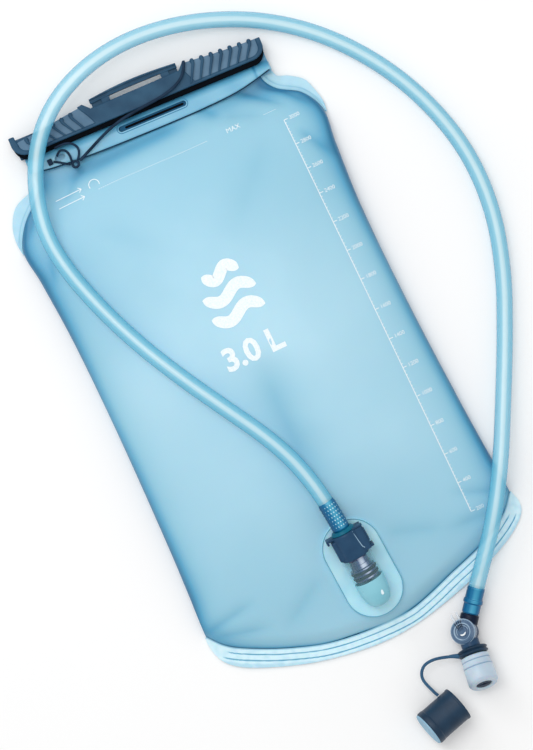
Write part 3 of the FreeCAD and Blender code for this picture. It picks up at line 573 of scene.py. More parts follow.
# Dark colour of the painted shadow line along the flap's free edge.
EDGE = moulded("flap_edge", (6, 44, 70), (14, 58, 86), 0.4)
RIM = clear("flange_rim", (96, 168, 194), (112, 182, 206), 0.3)


def dress(obj, material, body, slot, *nodes):
    """Finish a piece: its material, the body it rides on and the CAD nodes it stands for; the slot argument
    is not used.
    """
    obj.data.materials.clear()
    obj.data.materials.append(material)
    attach(obj, body)
    if nodes:
        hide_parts(*nodes)
    return obj


def repaint(material, *nodes):
    """A CAD node that stays, in a better material."""
    for name in nodes:
        for held in NODES[name].material_slots:
            held.link = "OBJECT"
            held.material = material
        if not NODES[name].material_slots:
            NODES[name].data.materials.append(material)


# ---------------------------------------------------------------- reservoir film
def section(y):
    """Left edge, right edge, underside, fold radius and top of the reservoir at y."""
    y = min(max(y, SECTIONS[0][0]), SECTIONS[-1][0])
    at = max(i for i in range(len(SECTIONS) - 1) if SECTIONS[i][0] <= y)
    p1, p2 = SECTIONS[at], SECTIONS[at + 1]
    p0 = SECTIONS[max(at - 1, 0)]
    p3 = SECTIONS[min(at + 2, len(SECTIONS) - 1)]
    span = p2[0] - p1[0]
    t = (y - p1[0]) / span
    out = []
    for k in range(1, 6):
        m1 = (p2[k] - p0[k]) / (p2[0] - p0[0]) * span
        m2 = (p3[k] - p1[k]) / (p3[0] - p1[0]) * span
        out.append(hermite(p1[k], p2[k], m1, m2, t))
    return out


def film_height(x, y, front=True):
    """Height of the front or the back film over a point in plan."""
    left, right, low, fold, top = section(y)
    middle = (left + right) / 2
    reach = (right - left) / 2 - fold
    across = min(abs(x - middle), reach + fold)
    round_side = math.sqrt(max(fold ** 2 - max(across - reach, 0) ** 2, 0))
    if not front:
        return max(low + fold - round_side, 0) if across > reach else max(low, 0)
    rise = top - low - fold
    crown = (reach ** 2 + rise ** 2 - fold ** 2) / (2 * (rise - fold))
    tangent = reach * crown / (crown - fold)
    if across < tangent:
        return top - crown + math.sqrt(crown ** 2 - across ** 2)
    return low + fold + round_side


def column_line(rows, column):
    return [(row[column], row[0], 0) for row in rows]


WIDEST = 5                  # the section where the bottom seam meets the sides
NECK_Y = 176.0
EDGE_POINTS = 161
SEAM = smooth_line(column_line(SECTIONS[WIDEST::-1], 1) + column_line(SECTIONS[:WIDEST + 1], 2), EDGE_POINTS)
SIDE_LEFT = smooth_line(column_line(SECTIONS[WIDEST:], 1) + [(-79, NECK_Y, 0)], EDGE_POINTS)
SIDE_RIGHT = smooth_line(column_line(SECTIONS[WIDEST:], 2) + [(77, NECK_Y, 0)], EDGE_POINTS)
SEAM_HEIGHT, NECK_HEIGHT = 1.3, 5.7     # middle of the two layers, above the ground
PILLOW = 9.5                # how far from the seam the film has swollen out

CREASES = (     # start, end, half width, depth
    ((30, 162), (44, 148), 4.4, 0.8), ((44, 148), (70, 138), 5.0, 0.6), ((58, 160), (84, 138), 3.4, 1.0),
    ((-50, 160), (-72, 140), 4.0, 0.6),
    ((76, 158), (98, 132), 2.6, 0.9), ((-78, 158), (-100, 132), 2.6, 0.9),
    ((-60, 122), (-18, 78), 10.0, 0.35), ((62, 124), (16, 74), 10.0, 0.4), ((84, 120), (98, 96), 4.0, 0.8),
    ((-2, -2), (-4, -100), 14.0, 1.2), ((-90, 122), (-98, 96), 4.0, 0.7),
    ((-106, -142), (-70, -136), 4.0, 0.8), ((-104, -146), (-66, -156), 4.0, 0.8),
    ((104, -142), (72, -128), 4.0, 0.8), ((96, -150), (60, -148), 5.0, 0.8),
    ((22, -132), (62, -148), 6.0, 0.6), ((-24, -140), (-60, -162), 6.0, 0.6),
)


def to_segment(x, y, start, end):
    """Distance to a segment in plan, and how far along it the nearest place is."""
    ax, ay = start
    bx, by = end
    dx, dy = bx - ax, by - ay
    along = ((x - ax) * dx + (y - ay) * dy) / (dx * dx + dy * dy)
    kept = min(max(along, 0), 1)
    return math.hypot(x - ax - dx * kept, y - ay - dy * kept), along


def creased(x, y):
    """Depth of the creases at a point, 0 or more."""
    depth = 0.0
    for start, end, width, amount in CREASES:
        away, along = to_segment(x, y, start, end)
        if away < 4 * width:
            fade = step(-0.15, 0.25, along) * step(1.15, 0.6, along)
            depth += amount * math.exp(-(away / width) ** 1.5) * fade
    return depth


def pick(line, share):
    at = min(max(share, 0), 1) * (len(line) - 1)
    low = min(int(at), len(line) - 2)
    return line[low].lerp(line[low + 1], at - low)


def film_plan(u, v):
    """Place in plan of the film's point: u runs left to right, v from the bottom seam to the neck."""
    s = 0.5 - 0.5 * math.cos(math.pi * u)
    t = v ** 1.3
    bottom, left, right = pick(SEAM, s), pick(SIDE_LEFT, t), pick(SIDE_RIGHT, t)
    neck = SIDE_LEFT[-1].lerp(SIDE_RIGHT[-1], s)
    corners = (SEAM[0] * (1 - s) + SEAM[-1] * s) * (1 - t) + neck * t
    return bottom * (1 - t) + neck * t + left * (1 - s) + right * s - corners


def tree_of(points):
    tree = KDTree(len(points))
    for i, point in enumerate(points):
        tree.insert((point.x, point.y, 0), i)
    tree.balance()
    return tree


SEAM_TREE = tree_of(spread_along(SEAM, 1200))


def seam_distance(x, y):
    return SEAM_TREE.find((x, y, 0))[2]


def side_distance(x, y):
    left, right = section(y)[:2]
    return max(min(x - left, right - x), 0)


def port_mask(x, y):
    """0 under the port's flange and 1 away from it."""
    return step(0, 14, max(abs(x - 0.9) - 20, abs(y + 146) - 35))


def ripple(x, y):
    """Soft unevenness of the film."""
    return noise.noise(Vector((x, y, 0)) * 0.022) * 0.8 + noise.noise(Vector((x, y, 7)) * 0.06) * 0.16


def film_point(u, v, front):
    place = film_plan(u, v)
    x, y = place.x, place.y
    low, fold = section(y)[2:4]
    pillow = math.sqrt(1 - (1 - min(seam_distance(x, y) / PILLOW, 1)) ** 2)
    neck = step(157, 170, y)
    side = side_distance(x, y)
    if u in (0, 1) or side < 0.01:
        return (x, y, mix(SEAM_HEIGHT, mix(low + fold, NECK_HEIGHT, neck), pillow))
    height = film_height(x, y, front)
    lift = min(side / 2, 1) * (0.5 if front else -0.5)
    height = mix(SEAM_HEIGHT + (0.3 if front else -0.3), mix(height, NECK_HEIGHT + lift, neck), pillow)
    soft = ripple(x, y)
    if front:
        height += (min(soft - creased(x, y), 0.25) * min(side / 9, 1) * pillow * (1 - neck)
                   * port_mask(x, y))
    elif height > 0.3:
        height += soft * 0.3 * pillow * (1 - neck)
    return (x, y, max(height, 0))


def paint(obj, shade):
    """Writes the film's tone, 0 deep to 1 pale, on each point; the tone holds painted shade as well as the
    film's colour.
    """
    mesh = obj.data
    tone = mesh.attributes.get("tone") or mesh.attributes.new("tone", "FLOAT", "POINT")
    tone.data.foreach_set("value", [shade(*(v.co * 1000)) for v in mesh.vertices])
    return obj


def film_tone_and_shade(x, y, z):
    """Pale in the middle; deeper at the side folds, partly the film's own deeper colour there and partly
    painted shade; painted shade in the creases, down a middle valley, towards the bottom, over the upper
    half, under the flap and under its slot; a darker seam line, with painted light just beside the seam.
    """
    side = side_distance(x, y)
    seam = seam_distance(x, y)
    # Darker near the sides: partly the folded film's deeper colour, partly painted shade. Broad painted shade
    # towards the bottom and over the upper half.
    tone = 1.0 - (0.95 - 0.3 * step(130, 150, y)) * math.exp(-side / 7.5) - 0.07 * step(10, -60, y) \
        - 0.16 * step(-60, -150, y) - 0.28 * step(15, 115, y)
    # Painted shade in a band under the flap and in a soft valley down the middle.
    tone -= 0.2 * step(140, 162, y) + 0.1 * math.exp(-((x + 3) / 15) ** 2) * step(10, -30, y)
    # Painted shade in the creases; a darker seam line; painted light beside the seam, lifting the steep
    # film's shade there.
    tone -= 0.26 * min(creased(x, y), 1.2) + 0.2 * step(1.4, 0.4, seam) - 0.3 * math.exp(-seam / 6)
    # Painted shadow of the flap on the film below its free edge.
    flap_shadow = math.exp(-((y - 155.5) / 5.5) ** 2)
    tone -= flap_shadow * (0.34 * step(-74, -42, x) * step(34, 4, x) + 0.16 * step(20, 50, x))
    tone += 0.06 * noise.noise(Vector((x, y, 3)) * 0.018)
    # Painted shade on the film seen through the flap's slot.
    slot_away = to_segment(x, y, (-18.5, 169.1), (27.1, 166.7))[0]
    tone -= 1.2 * step(7, 3.4, slot_away)
    return max(tone - 0.15 * step(0.55, 1.0, tone), 0)


def reservoir():
    columns, rows = 191, 231
    front = grid("front", columns, rows, lambda u, v: film_point(u, v, True))
    back = grid("back", columns, rows, lambda u, v: film_point(u, v, False))
    shell = join("reservoir_film", [front, back])
    clean(shell.data, 2e-5)
    paint(shell, film_tone_and_shade)
    dress(shell, FILM, "reservoir", "film", "film_front", "film_back")


def strip(name, inner, outer, rows, height, tone, thickness=1.1):
    """Flat weld between two plan lines; height(x, y, v) is its middle and tone(x, y, v) its shade."""
    columns = len(inner)

    def at(u, v):
        place = pick(inner, u).lerp(pick(outer, u), v)
        return (place.x, place.y, height(place.x, place.y, v))

    made = grid(name, columns, rows, at)
    thicken(made, thickness)
    apply(made)
    made.data.shade_smooth()
    made.data.set_sharp_from_angle(angle=math.radians(50))
    return paint(made, tone)


BOTTOM_RIM = ((-108.6, -144.5, 0), (-108.2, -152.5, 0), (-105.2, -161.6, 0), (-97.6, -169.4, 0),
              (-82.5, -177.4, 0), (-47.5, -189.4, 0), (2.5, -195.3, 0), (57.0, -184.6, 0),
              (94.9, -169.0, 0), (107.0, -158.6, 0), (108.6, -152.0, 0), (106.6, -144.0, 0))
WELD_LINES = ((3.6, 0.42, 97), (7.5, 0.5, 101))     # distance from the seam, half width, reach in x


def on_weld_line(x, away):
    """How far into a pressed line of the bottom weld, 0 to 1."""
    return max(step(1.0, 0.35, abs(away - place) / half) * step(reach + 3, reach, abs(x))
               for place, half, reach in WELD_LINES)


def bottom_weld():
    def height(x, y, v):
        wave = 0.22 * noise.noise(Vector((x, y, 0)) * 0.03) + 0.1 * math.sin(x * 0.11)
        return 1.35 + wave * v - 0.3 * on_weld_line(x, seam_distance(x, y))

    def tone(x, y, z):
        away = seam_distance(x, y)
        shade = 0.99 - 0.1 * step(8.5, 10.5, away) + 0.06 * noise.noise(Vector((x, y, 0)) * 0.3)
        return min(max(shade - 0.66 * on_weld_line(x, away) - 0.35 * step(1.0, 0.3, away), 0), 1)

    inner = spread_along(SEAM, 321)
    outer = smooth_line(BOTTOM_RIM, 321)
    dress(strip("bottom_weld_strip", inner, outer, 61, height, tone), FILM, "reservoir", "welded_film",
          "bottom_weld")


def shoulder(name, node, side, rim):
    """Flat weld at a shoulder, from the bag's round edge out to its rim."""
    along = [p for p in side if 124 < p.y < 169]
    inner = spread_along(along, 81)
    outer = smooth_line([(x, y, 0) for x, y in rim], 81)
    tree = tree_of(spread_along(along, 400))

    def height(x, y, v):
        low, fold = section(y)[2:4]
        return mix(low + fold, 1.9, step(0, 0.5, v)) + 0.25 * noise.noise(Vector((x, y, 0)) * 0.09) * v

    def tone(x, y, z):
        away = tree.find((x, y, 0))[2]
        line = math.exp(-((away - 2.4) / 0.5) ** 2)
        return min(max(0.86 - 0.2 * line - 0.35 * math.exp(-away / 0.8)
                       + 0.06 * noise.noise(Vector((x, y, 0)) * 0.2), 0), 1)

    dress(strip(name, inner, outer, 31, height, tone), FILM, "reservoir", "welded_film", node)


# ---------------------------------------------------------------- folded mouth
FREE_EDGE = smooth_line([(-86, 168.4, 0), (-76.0, 167.6, 0), (-68.5, 166.0, 0), (-44.0, 163.0, 0),
                         (2.0, 159.8, 0),
                         (36.0, 158.4, 0), (61.0, 158.9, 0), (88.0, 163.6, 0)], 200)
FLAP_FROM, FLAP_TO = -81.0, 84.6
FLAP_COLUMNS, FLAP_ROWS = 220, 70
SLOT_CENTRE, SLOT_LENGTH, SLOT_WIDTH, SLOT_TURN = (4.3, 167.9), 46.0, 3.8, 87.1
EYE_CENTRE = (-59.5, 169.6)


def free_edge(s):
    """Across-closure place of the flap's edge at s along the closure."""
    return min((FROM_CLOSURE @ p for p in FREE_EDGE), key=lambda p: abs(p.x - s)).y


def flap_height(s, t):
    """Middle of the flap's two layers."""
    rise = 3.4 * step(-8.0, -15.0, t)
    wave = 0.28 * noise.noise(Vector((s, t, 2)) * 0.05) * step(-11, -17, t)
    pinch = -0.35 * math.exp(-((s - 74.6) / 1.1) ** 2) * step(-9, -12, t)
    return 6.9 + rise + wave + pinch


def slot_outline(centre, width, length, turn):
    place = Matrix.Translation((*centre, 0)) @ Matrix.Rotation(math.radians(turn), 4, "Z")
    return [place @ Vector((x, y, 0)) for x, y in stadium(width, length)]


def mouth():
    edges = [free_edge(FLAP_FROM + (FLAP_TO - FLAP_FROM) * k / FLAP_COLUMNS) for k in range(FLAP_COLUMNS + 1)]
    loop = [(-17.0, 5.7), (-9.0, 5.7), (-2.0, 5.7), (-1.0, 5.75), (-0.5, 6.0), (-0.4, 6.3), (-0.5, 6.6),
            (-1.0, 6.85), (-2.0, 6.9)]
    last = len(loop) - 1

    def at(u, v):
        s = mix(FLAP_FROM, FLAP_TO, u)
        rows = v * FLAP_ROWS
        if rows <= last:
            low = min(int(rows), last - 1)
            t = mix(loop[low][0], loop[low + 1][0], rows - low)
            return (s, t, mix(loop[low][1], loop[low + 1][1], rows - low))
        share = (rows - last) / (FLAP_ROWS - last)
        t = mix(-2.0, edges[round(u * FLAP_COLUMNS)], share)
        return (s, t, flap_height(s, t) - 0.35 * step(0.93, 1, share))

    sheet = grid("folded_mouth_film", FLAP_COLUMNS + 1, FLAP_ROWS + 1, at, CLOSURE)
    thicken(sheet, 0.9)
    apply(sheet)
    for outline in (slot_outline(SLOT_CENTRE, SLOT_WIDTH, SLOT_LENGTH, SLOT_TURN),
                    slot_outline(EYE_CENTRE, 3.6, 7.0, 84)):
        tool = slab("cut", [(p.x, p.y) for p in outline], 8.0, 20.0, 0.01)
        tool.modifiers.clear()
        cut = sheet.modifiers.new("cut", "BOOLEAN")
        cut.operation, cut.object, cut.solver = "DIFFERENCE", tool, "EXACT"
        apply(sheet)
        bpy.data.objects.remove(tool)
    sheet.data.shade_smooth()
    sheet.data.set_sharp_from_angle(angle=math.radians(50))

    def tone(x, y, z):
        local = FROM_CLOSURE @ Vector((x, y, z))
        # Darker towards the slider: painted shade on the flap under the slider's lip.
        shade = 0.42 - 0.3 * step(-14.5, -8.5, local.y) + 0.14 * step(-30, -80, x)
        shade -= 0.25 * math.exp(-((local.x - 74.6) / 0.9) ** 2)
        return min(max(shade + 0.1 * noise.noise(Vector((x, y, 0)) * 0.07), 0), 1)

    paint(sheet, tone)
    dress(sheet, FILM, "reservoir", "mouth_film", "folded_mouth")

    def above(p, lift):
        local = FROM_CLOSURE @ p
        return Vector((p.x, p.y, flap_height(local.x, local.y) + lift))

    outline = slot_outline(SLOT_CENTRE, SLOT_WIDTH + 2.0, SLOT_LENGTH + 2.0, SLOT_TURN)
    around = spread_along(outline + outline[:1], 121)[:-1]
    rim = tube("flap_slot_rim", [above(p, 0.3) for p in around], 0.34, closed=True)
    dress(paint(rim, lambda x, y, z: 0.08), FILM, "reservoir", "mouth_film")
    # Dark slabs inside the flap's slot stand in for its shade: painted shade, with a near-black painted
    # shadow line along the middle.
    for name, centre, width, length, low, high, look in (
            ("flap_slot_painted_shade", SLOT_CENTRE, SLOT_WIDTH + 0.8, SLOT_LENGTH, 7.0, 8.2, SLOT_BLUE),
            ("flap_slot_painted_shadow", (5.6, 167.9), 1.5, 40.0, 7.6, 8.5, SLATE_DEEP)):
        plan = [(p.x, p.y) for p in slot_outline(centre, width, length, SLOT_TURN)]
        dress(slab(name, plan, low, high, 0.2), look, "reservoir", "mouth_film")
    # A dark tube along the flap's free edge: the painted shadow under the raised edge.
    edge = [p for p in FREE_EDGE if -74 < p.x < 84.5]
    edge_shadow = tube("flap_edge_shadow_line", [above(p, -0.25) for p in edge], 0.55, segments=10)
    dress(edge_shadow, EDGE, "reservoir", "mouth_film")


# ---------------------------------------------------------------- slide closure
def arc_corner(centre, radius_x, radius_y, start, end, count=10):
    return [(centre[0] + radius_x * math.cos(math.radians(start + (end - start) * k / count)),
             centre[1] + radius_y * math.sin(math.radians(start + (end - start) * k / count)))
            for k in range(count + 1)]


def flat_line(points, count):
    return [(p.x, p.y) for p in smooth_line([(x, y, 0) for x, y in points], count)]


END = 85.6
TOP = 12.1


def slider_closure():
    right_foot = arc_corner((END - 9.2, 1.6), 9.2, 7.6, 0, -90)
    left_foot = arc_corner((-END + 9.2, 2.4), 9.2, 8.4, 270, 180)
    crest_left = flat_line([(-81.4, 3.4), (-65.8, 5.0), (-50.0, 7.2), (-34.6, 9.0)], 14)
    crest_right = flat_line([(36.2, 9.6), (53.5, 7.9), (70.0, 6.7), (END - 1.2, 6.2)], 14)
    middle = [(-30.4, 5.7), (30.4, 6.2)]
    plate = right_foot + left_foot + [(-END, 7.8), (-82.0, 7.8)] + crest_left + middle + crest_right \
        + [(END - 0.2, 6.2)]
    panels = [slab("plate", plate, TOP - 2.1, TOP - 0.9, 0.35, CLOSURE)]
    lip = right_foot + left_foot + [(-END, 7.8), (-82.2, 7.8), (-81.0, 2.0)] \
        + arc_corner((-74.4, 1.2), 6.6, 5.0, 180, 265, 8) + [(76.4, -3.7)] \
        + arc_corner((76.6, 1.6), 5.8, 5.3, -90, 0, 8) + [(82.4, 6.2), (END, 6.2)]
    solids = [slab("lip", lip, TOP - 2.1, TOP + 0.1, 0.75, CLOSURE)]
    centre = [(-30.5, -5.0), (38.0, -5.0), (34.0, 4.0), (36.4, 10.9), (34.8, 10.9), (30.5, 6.2), (-30.0, 5.6),
              (-34.4, 10.0), (-38.0, 9.4), (-33.0, 1.0)]
    solids.append(slab("centre", centre, TOP - 2.1, TOP + 0.1, 0.5, CLOSURE))
    solids.append(block("back", (-END + 2, -7.2, 0.5), (END - 2, 5.4, 2.6), 0.7, CLOSURE))
    solids.append(block("web", (-END + 2, 3.2, 0.6), (END - 2, 5.4, TOP - 1.2), 0.5, CLOSURE))
    solids.append(block("under_lip", (-END + 9, -7.2, 2.4), (END - 9, -5.8, 4.5), 0.4, CLOSURE))
    pitch = 6.3
    for first, count, lean, run in ((40.5, 7, -1, 5.8), (-43.5, 6, 1, 5.0)):
        for k in range(count):
            top = first - lean * k * pitch
            crest = 10.2 - 0.42 * k if lean < 0 else 8.1 - 0.75 * k
            foot = top + lean * run
            rib = [(foot - 0.7, -4.4), (foot + 0.7, -4.4), (top + 1.05, crest - 3.4),
                   (top + 1.05, crest - 0.6),
                   (top + 0.5, crest), (top - 0.5, crest), (top - 1.05, crest - 0.6),
                   (top - 1.05, crest - 3.4)]
            solids.append(slab("rib", rib, TOP - 1.6, TOP + 0.55, 0.42, CLOSURE))
            knob = [(top + x, crest - 1.5 + y) for x, y in stadium(2.8, 3.2, 8)]
            solids.append(slab("knob", knob, TOP - 2.6, TOP + 0.15, 0.6, CLOSURE))
    arch = [(-29.2, 8.2), (-14, 8.9), (0.5, 9.1), (15, 9.0), (30.2, 8.6)]
    crown = [(30.2, 11.6), (15, 12.7), (0.5, 13.1), (-14, 12.6), (-29.2, 11.2)]
    solids.append(slab("arch", flat_line(arch, 30) + flat_line(crown, 30), TOP - 5.6, TOP - 1.4, 0.5,
                       CLOSURE))
    ridge = [(-29.0, 10.4), (-14, 11.3), (0.5, 11.7), (15, 11.4), (30.0, 10.6)]
    solids.append(slab("ridge", flat_line(ridge, 30) + flat_line(crown, 30), TOP - 2.2, TOP - 0.2, 0.45,
                       CLOSURE))
    inner = [(30.0, 9.5), (15, 10.0), (0.5, 10.2), (-14, 9.9), (-29.0, 9.1)]
    solids.append(slab("front_rail", flat_line(arch, 30) + flat_line(inner, 30), TOP - 2.2, TOP - 0.6, 0.3,
                       CLOSURE))
    for low, high in ((-28.6, -16.4), (18.8, 29.8)):
        solids.append(slab("gusset", [(low, 5.0), (high, 5.0), (high, 9.2), (low, 9.2)], TOP - 5.4, TOP - 2.6,
                           0.4, CLOSURE))
        start = high - 5.4 if high < 0 else low
        solids.append(block("post", (start, 4.6, TOP - 5.4), (start + 5.4, 9.4, TOP - 1.0), 0.3, CLOSURE))
    # A near-black slab under the slider's lower edge: painted shadow where the film runs in under the slider.
    under = [slab("under", arc_corner((END - 8.6, 0.6), 8.2, 9.8, 0, -90)
                  + arc_corner((-END + 8.6, 1.2), 8.2, 10.2, 270, 180), 8.1, TOP - 1.8, 0.3, CLOSURE)]
    dress(join("slider_shadow_band", under), SLATE_DEEP, "slider", "slider_plastic")
    body = join("slider_body", solids)
    dress(body, SLATE, "slider", "slider_plastic", "slider")
    dress(join("slider_panels", panels), SLATE_PANEL, "slider", "slider_plastic")


# ---------------------------------------------------------------- slider tether
def tether():
    line = route_line(TETHER_ROUTE)
    cord = tube("slider_tether_cord", line, 0.95, segments=12)
    cord.data.materials.append(CORD)
    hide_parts("slider_tether")
    mm((-48, 162, 12.6))
    mm((34, 184, 14.6))
    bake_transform(cord)
    tuple(mm(TETHER_ROUTE[0]))
    [tuple(mm(p)) for p in line]
    ring = circle(EYELET, Vector((1, 0, 0)), Vector((0, 1, 0)), 2.0, 40)
    dress(tube("tether_eyelet_ring", ring, 0.85, closed=True), CORD, "reservoir", "tether_cord",
          "tether_eyelet")
    for name, route in TAIL_ROUTES.items():
        dress(tube(name + "_cord", route_line(route), 0.75, segments=12), CORD, "reservoir", "tether_cord",
              name)
    stop = block("tether_stop_block", (-68.0, 167.4, 11.2), (-64.8, 171.4, 13.0), 0.5)
    dress(stop, CORD, "reservoir", "tether_cord", "tether_stop")


# ---------------------------------------------------------------- port and coupling
PORT_AXIS = (PORT.to_3x3() @ Vector((0, 1, 0))).normalized()
PORT_START = PORT @ Vector((0, 0, PORT_AXIS_HEIGHT))


def port():
    flange = slab("port_flange_plate", stadium(38.2, 67.6, 30), -0.6, 1.7, 0.6, PORT)
    rim = tube("port_flange_rim",
               [PORT @ Vector((x, y, 1.75)) for x, y in spread_flat(stadium(37.2, 66.6, 30), 160)],
               0.32, closed=True, segments=10)
    dress(flange, FLANGE, "reservoir", "port_clear", "port_body")
    dress(rim, RIM, "reservoir", "port_clear")
    front = [(-5.4, 9.85), (9.2, 9.85), (9.2, 10.4), (10.6, 10.4), (10.6, 8.75), (-5.4, 8.75), (-5.4, 9.85)]
    dress(lathe("port_barrel", PORT_START, PORT_AXIS, front, 0.3), PORT_CLEAR, "reservoir", "port_clear")
    nose = [(-24.3, 0.01), (-24.1, 2.8), (-23.2, 5.2), (-21.2, 7.2), (-18.0, 8.6), (-13.0, 9.5), (-5.4, 9.85),
            (-5.4, 8.75), (-8.4, 8.75), (-8.4, 3.4), (-10.2, 3.4), (-10.2, 5.6), (-21.2, 5.6), (-21.2, 0.01)]
    dress(lathe("port_nose", PORT_START, PORT_AXIS, nose, 0.5), PORT_NOSE, "reservoir", "port_clear")
    # A pale flat spot on the nose: a painted highlight.
    glint_spot = slab("port_painted_glint", stadium(2.0, 3.6), 7.6, 8.75, 0.5, PORT @ Matrix.Translation((3.4, -15.0,
                                                                                        PORT_AXIS_HEIGHT)))
    dress(glint_spot, GLINT, "reservoir", "port_clear")
    foot = [slab("foot", [(-6, -19), (6, -19), (6, 4.0), (-6, 4.0)], 1.2, 5.0, 0.5, PORT),
            slab("web", [(-1.2, -24), (1.2, -24), (1.2, 8.0), (-1.2, 8.0)], 1.2, 4.6, 0.3, PORT)]
    dress(join("port_foot", foot), FLANGE, "reservoir", "port_clear")


def spread_flat(outline, count):
    line = [Vector((x, y, 0)) for x, y in outline + outline[:1]]
    return [(p.x, p.y) for p in spread_along(line, count + 1)[:-1]]


def coupling():
    h = PORT_AXIS_HEIGHT
    shell = lathe("shell", PORT_START, PORT_AXIS,
                  [(11.1, 6.4), (11.1, 8.9), (12.0, 9.3), (27.6, 9.3), (28.7, 8.9),
                                                   (28.7, 6.4), (11.1, 6.4)], 0.35)
    flow = PORT @ Matrix.Translation((0, 0, h))
    parts = [shell] + [block("part", low, high, width, flow) for low, high, width in (
        ((2.5, 12.8, -6.4), (11.2, 28.0, -5.5), 0.3),       # cheeks at both sides, then their ends
        ((2.5, 12.8, 5.5), (11.2, 28.0, 6.4), 0.3),
        ((4.5, 12.7, -6.2), (11.2, 13.2, 6.2), 0.2),
        ((4.5, 28.3, -6.2), (11.6, 28.8, 6.2), 0.2),
        ((-12.6, 27.3, -4.5), (-7.2, 28.9, 4.5), 0.7),      # lip, its hook and the flank
        ((-12.7, 25.7, -4.5), (-11.3, 28.6, 4.5), 0.6),
        ((-10.3, 12.6, -5.6), (-6.0, 26.6, 5.6), 1.2),
        ((5.6, 28.2, 2.0), (12.4, 29.4, 6.6), 0.4),         # brow and flare round the button
        ((9.0, 13.0, -4.6), (13.4, 14.4, 5.6), 0.5))]
    dress(join("coupling_shell", parts), COUPLING, "hose_line", "coupling_plastic", "coupling_housing")
    # A raised seam along the housing; its pale colour is a painted highlight.
    seam = tube("seam", [PORT @ Vector((x, y, h + z)) for x, y, z in (
        (5.0, 28.0, 7.4), (5.4, 24.0, 7.3), (5.9, 20.0, 7.1), (6.4, 16.4, 6.9), (7.4, 15.0, 6.6))], 0.34,
        segments=8)
    dress(seam, COUPLING_SEAM_HIGHLIGHT, "hose_line", "coupling_plastic")
    bow = [(8.1 - 1.2 * math.sin(math.pi * k / 20), 16.0 + 9.8 * k / 20) for k in range(21)]
    leaf = apply(slab("button_leaf", bow + [(x - 0.4, y) for x, y in reversed(bow)], h - 1.5, h + 1.5, 0.04,
                      PORT))
    dress(leaf, STEEL, "hose_line", "coupling_plastic", "button_spring")
    tuple(mm(PORT @ Vector((6.5, 20.9, h))))
    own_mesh(leaf)
    key = [block("key", (8.7, 13.6, h - 5.0), (12.0, 28.2, h + 5.0), 0.8, PORT)]
    key += [block("rib", (11.6, at, h - 4.0), (12.6, at + 1.0, h + 4.0), 0.3, PORT)
            for at in (17.2, 19.4, 21.6, 23.8)]
    dress(join("release_key", key), COUPLING, "release_button", "coupling_plastic", "release_button")
    collar = [(28.75, 6.4), (28.75, 7.9), (29.3, 8.0), (30.9, 6.9), (31.1, 6.2), (31.1, 3.4), (30.0, 3.4),
              (30.0, 6.4), (28.75, 6.4)]
    dress(lathe("coupling_ring", PORT_START, PORT_AXIS, collar, 0.3), TEAL, "hose_line", "collar_plastic",
          "coupling_collar")
    stem = [(-5.2, 2.6), (-5.2, 5.6), (-4.4, 6.3), (-4.0, 6.35), (-4.0, 8.2), (-2.75, 8.2), (-2.75, 7.0),
            (-0.85, 7.0), (-0.85, 8.2), (0.45, 8.2), (0.45, 7.0), (2.35, 7.0), (2.35, 8.2), (3.4, 8.2),
            (3.8, 6.9),
            (6.4, 6.7), (6.4, 6.3), (29.6, 6.3), (29.6, 3.25)]
    for k in range(5):
        begin = 31.4 + k * 3.32
        stem += [(begin + 0.9, 3.3), (begin + 1.0, 3.6), (begin + 3.1, 3.2)]
    stem += [(48.0, 3.1), (48.0, 2.6), (-5.2, 2.6)]
    dress(lathe("plug_stem_turned", PORT_START, PORT_AXIS, stem, 0.15), PLUG, "hose_line", "plug_plastic",
          "plug_stem")
    over_hose = spread_along([PORT_START + PORT_AXIS * 31.2]
                             + [p for p in route_line(HOSE_ROUTE) if (p - PORT_START).length < 51], 100)
    sleeve = tube("hose_barb", over_hose, 5.65, segments=48,
                  taper=lambda share: min(1, 0.95 + share, 1.93 - share))
    dress(sleeve, BARB, "hose_line", "plug_plastic")
    pads = []
    for row in range(7):
        for column in range(18):
            place = 10 + 12 * row
            turn = 2 * math.pi * (column + 0.5 * (row % 2)) / 18

            def pad(u, v, place=place, turn=turn):
                here = pick(over_hose, (place + 6.5 * v) / 99)
                way = (pick(over_hose, (place + 9) / 99) - pick(over_hose, place / 99)).normalized()
                side = way.cross(Vector((0, 0, 1))).normalized()
                angle = turn + 0.2 * (u - 0.5)
                radius = 5.58 + 0.26 * math.sin(math.pi * u) * math.sin(math.pi * v)
                return here + (side * math.cos(angle) + side.cross(way) * math.sin(angle)) * radius
            pads.append(grid("pad", 5, 5, pad))
    dress(join("hose_barb_pads", pads), BARB_PADS, "hose_line", "plug_plastic")
    repaint(SEAL, "plug_ring_front", "plug_ring_rear", "seat_seal", "rotor_ring")
    repaint(STEEL, "poppet_spring")
    repaint(VALVE, "poppet", "shutoff_rotor")
    repaint(SLATE, "rail_front", "rail_back")


